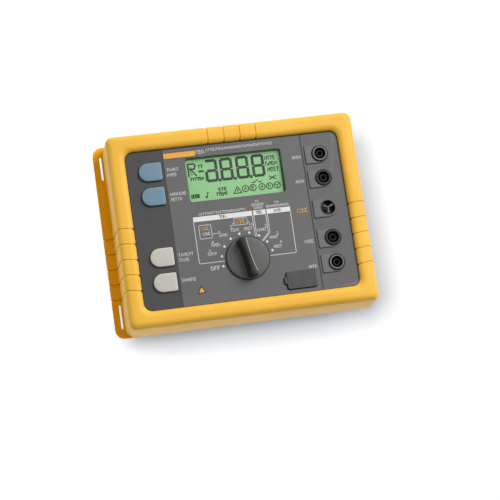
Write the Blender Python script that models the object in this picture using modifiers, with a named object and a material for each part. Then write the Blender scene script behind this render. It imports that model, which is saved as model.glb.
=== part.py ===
"""Four-pole earth resistance tester in a rubber boot, lying on its feet with the panel facing up.

Lengths are in metres. Parts are placed from the panel origin: the middle of the display side,
on the surface of the face plate. X runs to the sockets, Y to the display and Z out of the panel.
"""
import math

import bmesh
import bpy
from mathutils import Matrix

MM = 0.001
GAP = 0.3 * MM

# Driving heights, measured from the face plate's surface.
FEET_BOTTOM = -96.0 * MM
CASE_BOTTOM = -93.0 * MM
CASE_SPLIT = -38.3 * MM
BOOT_BOTTOM = -38.0 * MM
BOOT_TOP = 4.5 * MM
PLATE_THICKNESS = 0.95 * MM
CASE_TOP = -1.2 * MM
CASE_PLATE_BOTTOM = -4.0 * MM
BOARD_TOP = -9.0 * MM
BOARD_THICKNESS = 1.6 * MM

# Driving plan sizes.
WINDOW_HALF = (102.3 * MM, 76.0 * MM)
WINDOW_RADIUS = 6.8 * MM
BOOT_BASE_HALF = (120.4 * MM, 93.0 * MM)
BOOT_TOP_HALF = (118.3 * MM, 92.4 * MM)
BOOT_RADIUS = 8.4 * MM
BOOT_ROUNDING = 7.0 * MM
BEZEL_SLOPE = (5.0 * MM, 2.8 * MM)
FLANGE_OUTER_X = -129.5 * MM
FLANGE_THICKNESS = 4.0 * MM
SLOT_SIZE = (3.2 * MM, 23.6 * MM)
SLOT_X = -122.5 * MM
SLOT_Y = 72.3 * MM
CASE_HALF = (107.5 * MM, 81.5 * MM)
CASE_INNER_HALF = (105.0 * MM, 79.0 * MM)
CASE_RADIUS = 12.0 * MM
REAR_HALF = (108.0 * MM, 84.0 * MM)
REAR_DRAFT = 4.0 * MM
REAR_ROUNDING = 3.0 * MM
FLOOR_THICKNESS = 3.5 * MM
STRIP_INNER_X = 66.3 * MM
SOCKET_SEAM = 0.8 * MM
SCREW_POST = (97.0 * MM, 72.0 * MM)
BOARD_POST_X = 58.0 * MM
BOARD_POST_ROWS = (71.0 * MM, -44.0 * MM)

# Controls and connectors.
KEY_FLAT_X = -68.8 * MM
KEY_SIZE = (22.0 * MM, 17.6 * MM)
KEY_ROWS = (54.9 * MM, 31.1 * MM, -27.2 * MM, -51.2 * MM)
KEY_HEIGHT = 2.6 * MM
KEY_TRAVEL = 1.2 * MM
SOCKET_X = 83.0 * MM
SOCKET_ROWS = (55.0 * MM, 31.3 * MM, -27.1 * MM, -51.1 * MM)
CLAMP_SOCKET_Y = 2.0 * MM
PAD_TOP = 1.1 * MM
KNOB_Y = -37.0 * MM
KNOB_RADIUS = 20.8 * MM
KNOB_ANGLE = math.radians(101.25)
LCD_Y = 43.45 * MM
LCD_HALF = (46.0 * MM, 21.35 * MM)
LCD_CORNER = 2.5 * MM
USB_CENTRE = (47.5 * MM, -63.2 * MM)
USB_COVER_HALF = (13.4 * MM, 8.2 * MM)
USB_AXIS_X = 61.3 * MM
USB_AXIS_Z = 1.2 * MM
SHAFT_RADIUS = 3.0 * MM

# Battery compartment.
DOOR_CENTRE_Y = -30.0 * MM
DOOR_HALF = (62.0 * MM, 31.0 * MM)
TRAY_HALF = (50.0 * MM, 28.0 * MM)
DOOR_SCREW_X = 56.0 * MM
CELL_RADIUS = 7.1 * MM
CELL_LENGTH = 48.5 * MM
CELL_PITCH = 15.5 * MM
CELL_Z = -80.5 * MM

BOARD_POSTS = [(x, y) for x in (BOARD_POST_X, -BOARD_POST_X) for y in BOARD_POST_ROWS]
# The origin stands under the middle of the overall outline, which the flange makes lopsided.
ORIGIN_X = -(BOOT_BASE_HALF[0] + FLANGE_OUTER_X) / 2

MATERIALS = {
    "boot_rubber": ((0.95, 0.55, 0.09), 0.55, 0.0),
    "case_grey": ((0.12, 0.12, 0.12), 0.5, 0.0),
    "panel_grey": ((0.14, 0.14, 0.14), 0.45, 0.0),
    "strip_dark": ((0.08, 0.08, 0.085), 0.5, 0.0),
    "strip_grey": ((0.17, 0.17, 0.17), 0.5, 0.0),
    "key_blue": ((0.19, 0.32, 0.44), 0.5, 0.0),
    "key_light": ((0.55, 0.55, 0.49), 0.5, 0.0),
    "knob_black": ((0.03, 0.03, 0.028), 0.4, 0.0),
    "white_print": ((0.8, 0.8, 0.8), 0.5, 0.0),
    "lcd_green": ((0.26, 0.55, 0.3), 0.3, 0.0),
    "clear_lens": ((0.8, 0.9, 0.8), 0.05, 0.0),
    "black_plastic": ((0.015, 0.015, 0.015), 0.4, 0.0),
    "brass": ((0.75, 0.55, 0.2), 0.3, 1.0),
    "steel": ((0.6, 0.6, 0.6), 0.35, 1.0),
    "rubber_black": ((0.02, 0.02, 0.02), 0.8, 0.0),
    "board_green": ((0.02, 0.2, 0.06), 0.5, 0.0),
    "cell_wrap": ((0.1, 0.1, 0.35), 0.35, 0.0),
}


def clear_scene():
    """Removes whatever the start-up file holds."""
    for item in list(bpy.data.objects):
        bpy.data.objects.remove(item)


def new_collection(name):
    """A collection linked to the scene."""
    collection = bpy.data.collections.new(name)
    bpy.context.scene.collection.children.link(collection)
    return collection


def make_material(name):
    """A Principled material with the colour, roughness and metallic value of its entry."""
    colour, roughness, metallic = MATERIALS[name]
    material = bpy.data.materials.new(name)
    material.use_nodes = True
    shader = material.node_tree.nodes["Principled BSDF"]
    shader.inputs["Base Color"].default_value = (*colour, 1.0)
    shader.inputs["Roughness"].default_value = roughness
    shader.inputs["Metallic"].default_value = metallic
    material.diffuse_color = (*colour, 1.0)
    return material


clear_scene()
PARTS = new_collection("earth_resistance_tester")
CUTTERS = new_collection("cutters")
PAINT = {name: make_material(name) for name in MATERIALS}
PANEL = bpy.data.objects.new("panel_origin", None)
PANEL.location = (ORIGIN_X, 0.0, -FEET_BOTTOM)
PARTS.objects.link(PANEL)


# Outlines: lists of (x, y) points, counter-clockwise.

def arc(centre, radius, start, end, steps):
    """Points along an arc, angles in degrees, both ends included."""
    angles = [math.radians(start + (end - start) * i / steps) for i in range(steps + 1)]
    return [(centre[0] + radius * math.cos(a), centre[1] + radius * math.sin(a)) for a in angles]


def circle(radius, centre=(0.0, 0.0), steps=16):
    """A closed circle."""
    return arc(centre, radius, 0, 360, steps)[:-1]


def rounded_box(half, radius, centre=(0.0, 0.0), steps=4):
    """A rectangle with four equal round corners."""
    return corner_box((-half[0], half[0]), (-half[1], half[1]), (radius,) * 4, centre, steps)


def corner_box(x_span, y_span, radii, centre=(0.0, 0.0), steps=4):
    """A rectangle whose corner radii are given as right-top, left-top, left-bottom, right-bottom."""
    corners = ((1, 1, 0), (-1, 1, 90), (-1, -1, 180), (1, -1, 270))
    points = []
    for (side_x, side_y, start), radius in zip(corners, radii):
        x = x_span[1] if side_x > 0 else x_span[0]
        y = y_span[1] if side_y > 0 else y_span[0]
        middle = (centre[0] + x - side_x * radius, centre[1] + y - side_y * radius)
        if radius > 0:
            points += arc(middle, radius, start, start + 90, steps)
        else:
            points.append(middle)
    return points


def rectangle(half, centre=(0.0, 0.0)):
    """A sharp-cornered rectangle."""
    return corner_box((-half[0], half[0]), (-half[1], half[1]), (0.0,) * 4, centre)


def d_shape(size, centre=(0.0, 0.0), grow=0.0, round_side=-1):
    """A key outline: one short end flat with small corners, the other a half circle."""
    half = (size[0] / 2 + grow, size[1] / 2 + grow)
    small = 1.5 * MM + grow
    big = half[1] - 0.01 * MM
    radii = (small, big, big, small) if round_side < 0 else (big, small, small, big)
    return corner_box((-half[0], half[0]), (-half[1], half[1]), radii, centre, steps=5)


def bar_shape(half_length, middle_half, end_half, steps=6):
    """A grip seen from above, along X: narrow in the middle and rounded at both ends."""
    points = []
    for side in (1, -1):
        for i in range(-steps, steps + 1):
            t = i / steps
            y = middle_half + (end_half - middle_half) * t * t
            points.append((-side * t * (half_length - end_half / 2), side * y))
        points.append((-side * half_length, 0.0))
    return points


# Solids.

def place(thing, origin, material=None, collection=None):
    """Parents an object to the panel origin and gives it its material and collection."""
    (collection or PARTS).objects.link(thing)
    thing.parent = PANEL
    thing.location = origin
    if material:
        thing.data.materials.clear()
        thing.data.materials.append(PAINT[material])
    if collection is CUTTERS:
        thing.hide_render = True
        thing.display_type = "WIRE"
    return thing


def welded_mesh(curve, name):
    """The closed mesh of a filled curve, its caps joined to its sides."""
    source = bpy.data.objects.new(name + "_curve", curve)
    PARTS.objects.link(source)
    evaluated = source.evaluated_get(bpy.context.evaluated_depsgraph_get())
    mesh = bpy.data.meshes.new_from_object(evaluated)
    bpy.data.objects.remove(source)
    shape = bmesh.new()
    shape.from_mesh(mesh)
    bmesh.ops.remove_doubles(shape, verts=shape.verts, dist=0.001 * MM)
    bmesh.ops.recalc_face_normals(shape, faces=shape.faces)
    shape.to_mesh(mesh)
    shape.free()
    mesh.name = name
    return mesh


def prism_mesh(name, outlines, bottom, top):
    """Outlines pulled up between two heights. The first is the outside and the rest are holes."""
    curve = bpy.data.curves.new(name, "CURVE")
    curve.dimensions = "2D"
    curve.fill_mode = "BOTH"
    curve.extrude = (top - bottom) / 2
    for outline in outlines:
        spline = curve.splines.new("POLY")
        spline.points.add(len(outline) - 1)
        for point, (x, y) in zip(spline.points, outline):
            point.co = (x, y, 0.0, 1.0)
        spline.use_cyclic_u = True
    mesh = welded_mesh(curve, name)
    mesh.transform(Matrix.Translation((0.0, 0.0, (top + bottom) / 2)))
    return mesh


def prism(name, outlines, bottom, top, material=None, origin=(0.0, 0.0, 0.0), cutter=False):
    """A prism object."""
    thing = bpy.data.objects.new(name, prism_mesh(name, outlines, bottom, top))
    return place(thing, origin, material, CUTTERS if cutter else PARTS)


def turned(name, profile, material, origin=(0.0, 0.0, 0.0), steps=24, closed=False):
    """A profile of (radius, height) points spun about Z."""
    mesh = bpy.data.meshes.new(name)
    count = len(profile)
    edges = [(i, i + 1) for i in range(count - 1)]
    if closed:
        edges.append((count - 1, 0))
    mesh.from_pydata([(radius, 0.0, height) for radius, height in profile], edges, [])
    thing = bpy.data.objects.new(name, mesh)
    place(thing, origin, material)
    spin = thing.modifiers.new("spin", "SCREW")
    spin.steps = steps
    spin.render_steps = steps
    spin.use_merge_vertices = True
    spin.merge_threshold = 0.01 * MM
    return thing


def boolean(thing, tool, operation):
    """Cuts a tool from an object or joins it on. The tool moves to the cutters."""
    step = thing.modifiers.new(operation.lower() + "_" + tool.name, "BOOLEAN")
    step.operation = operation
    step.solver = "EXACT"
    step.object = tool
    if PARTS in tool.users_collection:
        PARTS.objects.unlink(tool)
        CUTTERS.objects.link(tool)
    tool.hide_render = True
    tool.display_type = "WIRE"


def cut(thing, *tools):
    """Cuts each tool from an object."""
    for tool in tools:
        boolean(thing, tool, "DIFFERENCE")


def fuse(thing, *tools):
    """Joins each tool onto an object."""
    for tool in tools:
        boolean(thing, tool, "UNION")


def taper(thing, z_start, z_end, shrink):
    """Moves points inwards by up to shrink (x, y) as they near z_end, to give the walls draft."""
    for vertex in thing.data.vertices:
        share = (vertex.co.z - z_start) / (z_end - z_start)
        vertex.co.x -= math.copysign(shrink[0] * share, vertex.co.x)
        vertex.co.y -= math.copysign(shrink[1] * share, vertex.co.y)


def round_edges_at(thing, height, width, segments):
    """Bevels only the edges that lie at one height."""
    mesh = thing.data
    weights = mesh.attributes.new("bevel_weight_edge", "FLOAT", "EDGE")
    near = 0.01 * MM
    for edge in mesh.edges:
        ends = [mesh.vertices[i].co.z for i in edge.vertices]
        on_rim = len([p for p in mesh.polygons if edge.key in p.edge_keys and abs(p.normal.z) < 0.5]) == 1
        if on_rim and all(abs(z - height) < near for z in ends):
            weights.data[edge.index].value = 1.0
    bevel = thing.modifiers.new("rounding", "BEVEL")
    bevel.limit_method = "WEIGHT"
    bevel.width = width
    bevel.segments = segments


def smooth(thing, angle=40):
    """Shades round faces smooth and keeps the corners sharp."""
    thing.data.shade_smooth()
    thing.data.set_sharp_from_angle(angle=math.radians(angle))


# Boot and cases.

def build_boot():
    """Rubber boot: flared walls, a rounded bezel round the panel and a slotted flange on the left."""
    boot = prism("rubber_boot", [rounded_box(BOOT_BASE_HALF, BOOT_RADIUS, steps=8)],
                 BOOT_BOTTOM, BOOT_TOP, "boot_rubber")
    draft = [base - top for base, top in zip(BOOT_BASE_HALF, BOOT_TOP_HALF)]
    taper(boot, BOOT_BOTTOM, BOOT_TOP, draft)
    round_edges_at(boot, BOOT_TOP, BOOT_ROUNDING, 4)
    flange_span = (FLANGE_OUTER_X, -CASE_HALF[0] - 3 * MM)
    width = BOOT_BASE_HALF[1] - 0.1 * MM
    flange = prism("flange", [corner_box(flange_span, (-width, width), (0.0, 9 * MM, 9 * MM, 0.0))],
                   BOOT_BOTTOM, BOOT_BOTTOM + FLANGE_THICKNESS, cutter=True)
    fuse(boot, flange)
    cavity_half = [side + GAP for side in CASE_HALF]
    cavity = prism("boot_cavity", [rounded_box(cavity_half, CASE_RADIUS + GAP)],
                   BOOT_BOTTOM - 5 * MM, CASE_TOP + GAP, cutter=True)
    window = prism("boot_window", [rounded_box(WINDOW_HALF, WINDOW_RADIUS)],
                   -5 * MM, BOOT_TOP + 5 * MM, cutter=True)
    run, fall = BEZEL_SLOPE
    mouth = prism("bezel_slope", [rounded_box([half + run for half in WINDOW_HALF], WINDOW_RADIUS + run / 2)],
                  BOOT_TOP - fall, BOOT_TOP + 0.1 * MM, cutter=True)
    taper(mouth, BOOT_TOP, BOOT_TOP - fall, (run, run))
    cut(boot, cavity, window, mouth)
    for side in (1, -1):
        hole = [half / 2 for half in SLOT_SIZE]
        slot = prism("strap_slot", [rounded_box(hole, 1.5 * MM, (SLOT_X, side * SLOT_Y), steps=3)],
                     BOOT_BOTTOM - 5 * MM, BOOT_BOTTOM + 9 * MM, cutter=True)
        cut(boot, slot)


def panel_holes(grow):
    """Outlines of the holes that the keys, shaft and USB port need in the front case."""
    holes = []
    for y in KEY_ROWS:
        holes.append(d_shape(KEY_SIZE, (KEY_FLAT_X - KEY_SIZE[0] / 2, y), grow))
    holes.append(rectangle([side + grow for side in (11.5 * MM, 6.0 * MM)], USB_CENTRE))
    holes.append(circle(SHAFT_RADIUS + 1.5 * MM, (0.0, KNOB_Y)))
    return holes


def build_front_case():
    """Upper shell: a plate that carries the panel parts, with walls and four screw bosses below."""
    case = prism("front_case", [rounded_box(CASE_HALF, CASE_RADIUS)], BOOT_BOTTOM + 1.5 * MM,
                 CASE_TOP, "case_grey")
    inside = prism("front_case_inside", [rounded_box(CASE_INNER_HALF, CASE_RADIUS - 2.5 * MM)],
                   BOOT_BOTTOM, CASE_PLATE_BOTTOM, cutter=True)
    cut(case, inside)
    openings = panel_holes(0.4 * MM)
    openings.append(rounded_box(LCD_HALF, LCD_CORNER, (0.0, LCD_Y), 3))
    openings += [circle(7.2 * MM, (SOCKET_X, y)) for y in (*SOCKET_ROWS, CLAMP_SOCKET_Y)]
    for index, outline in enumerate(openings):
        cut(case, prism("case_opening_%d" % index, [outline], -7 * MM, 2 * MM, cutter=True))
    for x in (SCREW_POST[0], -SCREW_POST[0]):
        for y in (SCREW_POST[1], -SCREW_POST[1]):
            boss = prism("boss", [circle(4.0 * MM, (x, y), 12), circle(1.9 * MM, (x, y), 8)],
                         BOOT_BOTTOM + 1.7 * MM, CASE_PLATE_BOTTOM + 1 * MM, cutter=True)
            fuse(case, boss)
    for post in BOARD_POSTS:
        fuse(case, prism("board_post", [circle(2 * MM, post, 8)], BOARD_TOP - 3 * MM,
                         CASE_PLATE_BOTTOM + 1 * MM, cutter=True))
        fuse(case, prism("board_rest", [circle(3.4 * MM, post, 8)], BOARD_TOP + GAP,
                         CASE_PLATE_BOTTOM + 1.2 * MM, cutter=True))


def build_rear_case():
    """Lower shell: tapered walls, a rim under the boot, four screw posts and the battery opening."""
    case = prism("rear_case", [rounded_box(REAR_HALF, 14 * MM)], CASE_BOTTOM, CASE_SPLIT - 2 * MM,
                 "case_grey")
    taper(case, CASE_SPLIT - 2 * MM, CASE_BOTTOM, (REAR_DRAFT, REAR_DRAFT))
    round_edges_at(case, CASE_BOTTOM, REAR_ROUNDING, 3)
    rim = prism("rear_rim", [rounded_box((112 * MM, 87 * MM), 16 * MM)], CASE_SPLIT - 5.7 * MM,
                CASE_SPLIT, cutter=True)
    fuse(case, rim)
    inner_floor = CASE_BOTTOM + FLOOR_THICKNESS
    inside = prism("rear_case_inside", [rounded_box(CASE_INNER_HALF, CASE_RADIUS - 1 * MM)],
                   inner_floor, CASE_SPLIT + 5 * MM, cutter=True)
    taper(inside, CASE_SPLIT + 5 * MM, inner_floor, (REAR_DRAFT, REAR_DRAFT * 0.7))
    cut(case, inside)
    for x in (SCREW_POST[0], -SCREW_POST[0]):
        for y in (SCREW_POST[1], -SCREW_POST[1]):
            post = prism("post", [circle(4.2 * MM, (x, y), 12)], inner_floor - 1 * MM,
                         CASE_SPLIT - 0.3 * MM, cutter=True)
            bore = prism("post_bore", [circle(1.9 * MM, (x, y), 8)], CASE_BOTTOM - 1 * MM,
                         CASE_SPLIT + 2 * MM, cutter=True)
            well = prism("post_well", [circle(3.3 * MM, (x, y), 12)], CASE_BOTTOM - 1.5 * MM,
                         -55 * MM, cutter=True)
            fuse(case, post)
            cut(case, bore, well)
    centre = (0.0, DOOR_CENTRE_Y)
    recess_half = [side + GAP for side in DOOR_HALF]
    recess = prism("door_recess", [rounded_box(recess_half, 3 * MM, centre, 3)],
                   CASE_BOTTOM - 1 * MM, CASE_BOTTOM + 1.6 * MM, cutter=True)
    opening = prism("cell_opening", [rounded_box(TRAY_HALF, 1 * MM, centre, 2)],
                    CASE_BOTTOM, inner_floor + 1 * MM, cutter=True)
    for side in (1, -1):
        post = prism("door_post", [circle(4.0 * MM, (side * DOOR_SCREW_X, DOOR_CENTRE_Y), 16)],
                     inner_floor - 1 * MM, inner_floor + 9 * MM, cutter=True)
        bore = prism("door_bore", [circle(1.9 * MM, (side * DOOR_SCREW_X, DOOR_CENTRE_Y), 12)],
                     CASE_BOTTOM, inner_floor + 10 * MM, cutter=True)
        fuse(case, post)
        cut(case, bore)
    cut(case, recess, opening)


def build_gasket():
    """Ring seal between the two shells."""
    inner = [side + GAP for side in CASE_INNER_HALF]
    outer = [side - GAP for side in CASE_HALF]
    prism("case_gasket", [rounded_box(outer, 11.7 * MM), rounded_box(inner, 9.2 * MM)],
          CASE_SPLIT + 0.2 * MM, BOOT_BOTTOM + 1.3 * MM, "rubber_black")


def four_corners(x, y):
    """The four mirror images of one place."""
    return [(x, y), (-x, y), (-x, -y), (x, -y)]


def build_case_screws():
    """Four long screws up through the rear posts into the front bosses."""
    profile = [(0.0, -25 * MM), (1.5 * MM, -25 * MM), (1.5 * MM, -55.3 * MM),
               (3.0 * MM, -55.3 * MM), (3.0 * MM, -58.0 * MM), (0.0, -58.0 * MM)]
    for number, (x, y) in enumerate(four_corners(*SCREW_POST), 1):
        turned("case_screw_%d" % number, profile, "steel", (x, y, 0.0), 12)


def build_feet():
    """Four rubber feet."""
    top = CASE_BOTTOM - GAP
    profile = [(0.0, top), (7 * MM, top), (7 * MM, FEET_BOTTOM + 0.8 * MM),
               (6 * MM, FEET_BOTTOM), (0.0, FEET_BOTTOM)]
    for number, (x, y) in enumerate(four_corners(88 * MM, 66 * MM), 1):
        turned("rubber_foot_%d" % number, profile, "rubber_black", (x, y, 0.0), 20)


# Panel.

def build_plates():
    """The three plates of the panel: key strip, face plate and socket strip with D-shaped pads."""
    half = (WINDOW_HALF[0] - GAP, WINDOW_HALF[1] - GAP)
    left_edge = STRIP_INNER_X - GAP / 2
    right_edge = STRIP_INNER_X - SOCKET_SEAM / 2
    radius = WINDOW_RADIUS - GAP
    span_y = (-half[1], half[1])
    left = corner_box((-half[0], -left_edge - GAP), span_y, (0.0, radius, radius, 0.0))
    middle = corner_box((-left_edge, right_edge), span_y, (0.0,) * 4)
    right = corner_box((right_edge + SOCKET_SEAM, half[0]), span_y, (radius, 0.0, 0.0, radius))
    key_holes = panel_holes(0.4 * MM)[:len(KEY_ROWS)]
    port_hole = rectangle((11.5 * MM, 6.0 * MM), USB_CENTRE)
    shaft_hole = circle(SHAFT_RADIUS + 1.5 * MM, (0.0, KNOB_Y))
    lcd_hole = rounded_box(LCD_HALF, LCD_CORNER, (0.0, LCD_Y), 3)
    prism("key_strip", [left] + key_holes, -PLATE_THICKNESS, 0.0, "strip_dark")
    prism("face_plate", [middle, lcd_hole, port_hole, shaft_hole], -PLATE_THICKNESS, 0.0, "panel_grey")
    strip = prism("socket_strip", [right], -PLATE_THICKNESS, 0.0, "strip_grey")
    size = (22.4 * MM, 17.6 * MM)
    middle_x = SOCKET_X - 14.1 * MM + size[0] / 2
    for y in (*SOCKET_ROWS, CLAMP_SOCKET_Y):
        pad = d_shape(size, (middle_x, y), round_side=1)
        fuse(strip, prism("pad", [pad], -0.5 * MM, PAD_TOP, cutter=True))
    for y in (*SOCKET_ROWS, CLAMP_SOCKET_Y):
        hole = circle(8.1 * MM, (SOCKET_X, y), 20)
        cut(strip, prism("socket_hole", [hole], -2 * MM, 2 * MM, cutter=True))


def build_key(name, y, material):
    """A push key: D-shaped cap, a wider skirt that the case plate retains, and a plunger."""
    origin = (KEY_FLAT_X - KEY_SIZE[0] / 2, y, 0.0)
    skirt_top = CASE_PLATE_BOTTOM - GAP
    cap = prism(name, [d_shape(KEY_SIZE)], skirt_top - 0.5 * MM, KEY_HEIGHT, material, origin)
    round_edges_at(cap, KEY_HEIGHT, 1.0 * MM, 2)
    skirt = prism("skirt", [d_shape(KEY_SIZE, grow=1.2 * MM)], skirt_top - 1.0 * MM, skirt_top,
                  origin=origin, cutter=True)
    plunger = prism("plunger", [circle(3 * MM, steps=16)], skirt_top - 1.6 * MM,
                    skirt_top - 0.6 * MM, origin=origin, cutter=True)
    fuse(cap, skirt, plunger)


def build_keys():
    """Two blue keys above and two light keys below, on one rubber mat."""
    build_key("start_key", KEY_ROWS[0], "key_blue")
    build_key("display_key", KEY_ROWS[1], "key_blue")
    build_key("change_key", KEY_ROWS[2], "key_light")
    build_key("select_key", KEY_ROWS[3], "key_light")
    mat_x = KEY_FLAT_X - KEY_SIZE[0] / 2
    mat = rounded_box((12.5 * MM, 64 * MM), 2 * MM, (mat_x, 0.0), 2)
    mat_top = CASE_PLATE_BOTTOM - 1.9 * MM - KEY_TRAVEL - GAP
    prism("keypad_mat", [mat], BOARD_TOP + GAP, mat_top, "rubber_black")


def build_display():
    """Display: a clear lens under the plate, the glass cell and the tray that holds it."""
    centre = (0.0, LCD_Y)
    lens_top = CASE_PLATE_BOTTOM - 0.2 * MM
    cell_top = lens_top - 1.1 * MM
    prism("display_lens", [rectangle((49 * MM, 24.4 * MM), centre)], lens_top - 0.8 * MM, lens_top,
          "clear_lens")
    prism("display_cell", [rectangle((48 * MM, 23.4 * MM), centre)], cell_top - 2 * MM, cell_top,
          "lcd_green")
    frame = [rectangle((50.5 * MM, 25.9 * MM), centre), rectangle((48.3 * MM, 23.7 * MM), centre)]
    prism("display_frame", frame, BOARD_TOP + GAP, cell_top, "black_plastic")


def build_knob():
    """Range knob: a low disc with a waisted grip, its pointer and the switch shaft it turns."""
    origin = (0.0, KNOB_Y, 0.0)
    bottom = 0.5 * MM
    disc_top = 3.2 * MM
    grip_top = 15.5 * MM
    rim = KNOB_RADIUS
    profile = [(0.0, disc_top), (rim - 1.6 * MM, disc_top), (rim - 0.5 * MM, disc_top - 0.6 * MM),
               (rim, disc_top - 1.6 * MM), (rim, bottom), (0.0, bottom)]
    knob = turned("range_knob", profile, "knob_black", origin, 48)
    grip = prism("grip", [bar_shape(19.0 * MM, 4.4 * MM, 6.4 * MM)], disc_top - 1 * MM, grip_top,
                 origin=origin, cutter=True)
    fuse(knob, grip)
    bore = prism("knob_bore", [circle(SHAFT_RADIUS + GAP, steps=20)], bottom - 1 * MM, 10 * MM,
                 origin=origin, cutter=True)
    cut(knob, bore)
    line = rectangle((18.2 * MM, 0.45 * MM))
    pointer = prism("knob_pointer", [line], grip_top + 0.1 * MM, grip_top + 0.5 * MM, "white_print", origin)
    shaft_profile = [(0.0, 9.5 * MM), (SHAFT_RADIUS, 9.5 * MM), (SHAFT_RADIUS, -29 * MM), (0.0, -29 * MM)]
    turned("switch_shaft", shaft_profile, "steel", origin, 20)
    for thing in (knob, grip, bore, pointer):
        thing.rotation_euler.z = KNOB_ANGLE


def build_rotary_switch():
    """Wafer switch under the board, with the bore that the shaft turns in."""
    board_bottom = BOARD_TOP - BOARD_THICKNESS
    bore = SHAFT_RADIUS + GAP
    rings = ((15.0, 0.3, 5.0), (12.0, 5.0, 7.0), (15.0, 7.0, 9.0), (12.0, 9.0, 13.0), (15.0, 13.0, 15.0))
    outer = []
    for radius, start, end in rings:
        outer.append((radius * MM, board_bottom - start * MM))
        outer.append((radius * MM, board_bottom - end * MM))
    profile = outer + [(bore, outer[-1][1]), (bore, outer[0][1])]
    turned("rotary_switch", profile, "black_plastic", (0.0, KNOB_Y, 0.0), 16, closed=True)


# Connectors.

def build_sockets():
    """Four shrouded measuring sockets, each an insulator with a contact tube inside."""
    body = [(7.8, 2.4), (7.8, -0.9), (6.9, -0.9), (6.9, -28.0), (2.75, -28.0), (2.75, 0.8),
            (3.6, 0.8), (3.6, -7.0), (5.3, -7.0), (5.3, 2.4)]
    tube = [(0.0, -22.0), (2.0, -22.0), (2.0, -0.5), (2.45, -0.5), (2.45, -28.0), (1.0, -28.0),
            (1.0, -36.5), (0.0, -36.5)]
    names = ("current", "potential", "sense", "earth")
    for name, y in zip(names, SOCKET_ROWS):
        profile = [(radius * MM, height * MM) for radius, height in body]
        turned(name + "_socket", profile, "black_plastic", (SOCKET_X, y, 0.0), 20, closed=True)
        profile = [(radius * MM, height * MM) for radius, height in tube]
        turned(name + "_contact", profile, "brass", (SOCKET_X, y, 0.0), 12)


def build_clamp_socket():
    """Round multi-pole socket for a current clamp, with three ribs in its face."""
    origin = (SOCKET_X, CLAMP_SOCKET_Y, 0.0)
    body = [(0.0, -2.0), (6.6, -2.0), (6.6, 1.8), (7.8, 1.8), (7.8, -0.9), (6.9, -0.9),
            (6.9, -20.0), (0.0, -20.0)]
    profile = [(radius * MM, height * MM) for radius, height in body]
    socket = turned("clamp_socket", profile, "black_plastic", origin, 20)
    for index in range(3):
        half = (3.4 * MM, 0.7 * MM)
        rib = prism("rib_%d" % index, [rectangle(half, (3.35 * MM, 0.0))], -2.5 * MM, 0.2 * MM,
                    origin=origin, cutter=True)
        rib.rotation_euler.z = math.radians(30 + 120 * index)
        fuse(socket, rib)


def build_usb():
    """Data port under a hinged rubber cover with a finger tab on its left."""
    axis = (USB_AXIS_X, USB_CENTRE[1], USB_AXIS_Z)
    bottom = GAP - USB_AXIS_Z
    top = 1.9 * MM - USB_AXIS_Z
    left = USB_CENTRE[0] - USB_COVER_HALF[0] - USB_AXIS_X
    right = -1.9 * MM
    middle = (left + right) / 2
    half = ((right - left) / 2, USB_COVER_HALF[1])
    cover = prism("usb_cover", [rounded_box(half, 2 * MM, (middle, 0.0), 4)], bottom, top,
                  "rubber_black", axis)
    tab = prism("tab", [rounded_box((2.6 * MM, 3.4 * MM), 1.6 * MM, (left - 1.3 * MM, 0.0), 4)],
                bottom + 0.2 * MM, top - 0.2 * MM, origin=axis, cutter=True)
    plug = prism("plug", [rectangle((11.0 * MM, 5.5 * MM), (USB_CENTRE[0] - USB_AXIS_X, 0.0))],
                 -1.6 * MM - USB_AXIS_Z, bottom + 0.5 * MM, origin=axis, cutter=True)
    arm = prism("arm", [rectangle((1.5 * MM, 3.8 * MM), (-1.4 * MM, 0.0))], -0.7 * MM, top - 0.1 * MM,
                origin=axis, cutter=True)
    barrel = prism("barrel", [circle(1.0 * MM, steps=16)], -3.9 * MM, 3.9 * MM, origin=axis, cutter=True)
    bore = prism("barrel_bore", [circle(0.7 * MM, steps=12)], -4.5 * MM, 4.5 * MM, origin=axis, cutter=True)
    fuse(cover, tab, plug, arm, barrel)
    cut(cover, bore)
    pin = prism("usb_hinge_pin", [circle(0.4 * MM, steps=10)], -6.0 * MM, 6.0 * MM, "steel", axis)
    for thing in (barrel, bore, pin):
        thing.rotation_euler.x = math.radians(90)
    for side in (1, -1):
        ear = prism("ear", [rectangle((1.2 * MM, 0.9 * MM), (0.0, side * 5.2 * MM))], bottom - 0.1 * MM,
                    1.0 * MM, origin=axis, cutter=True)
        ear.parent = None
        ear.data.transform(Matrix.Rotation(math.radians(-90), 4, "X"))
        ear.parent = pin
        ear.location = (0.0, 0.0, 0.0)
        fuse(pin, ear)
    port = prism("usb_port", [rectangle((6.0 * MM, 5.4 * MM), USB_CENTRE)], BOARD_TOP + GAP, -2.6 * MM,
                 "steel")
    throat = prism("port_throat", [rectangle((4.4 * MM, 4.0 * MM), USB_CENTRE)], BOARD_TOP + 1.5 * MM,
                   0.0, cutter=True)
    tongue = prism("port_tongue", [rectangle((2.6 * MM, 1.4 * MM), USB_CENTRE)], BOARD_TOP + 1 * MM,
                   -4.0 * MM, cutter=True)
    cut(port, throat)
    fuse(port, tongue)


# Electronics.

def build_main_board():
    """Main board, staked on posts that stand under the front plate."""
    holes = [circle(7.3 * MM, (SOCKET_X, y)) for y in (*SOCKET_ROWS, CLAMP_SOCKET_Y)]
    holes.append(circle(SHAFT_RADIUS + 1 * MM, (0.0, KNOB_Y)))
    holes += [circle(2.3 * MM, post, 12) for post in BOARD_POSTS]
    outline = rectangle((92.4 * MM, 77 * MM))
    prism("main_board", [outline] + holes, BOARD_TOP - BOARD_THICKNESS, BOARD_TOP, "board_green")


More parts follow.
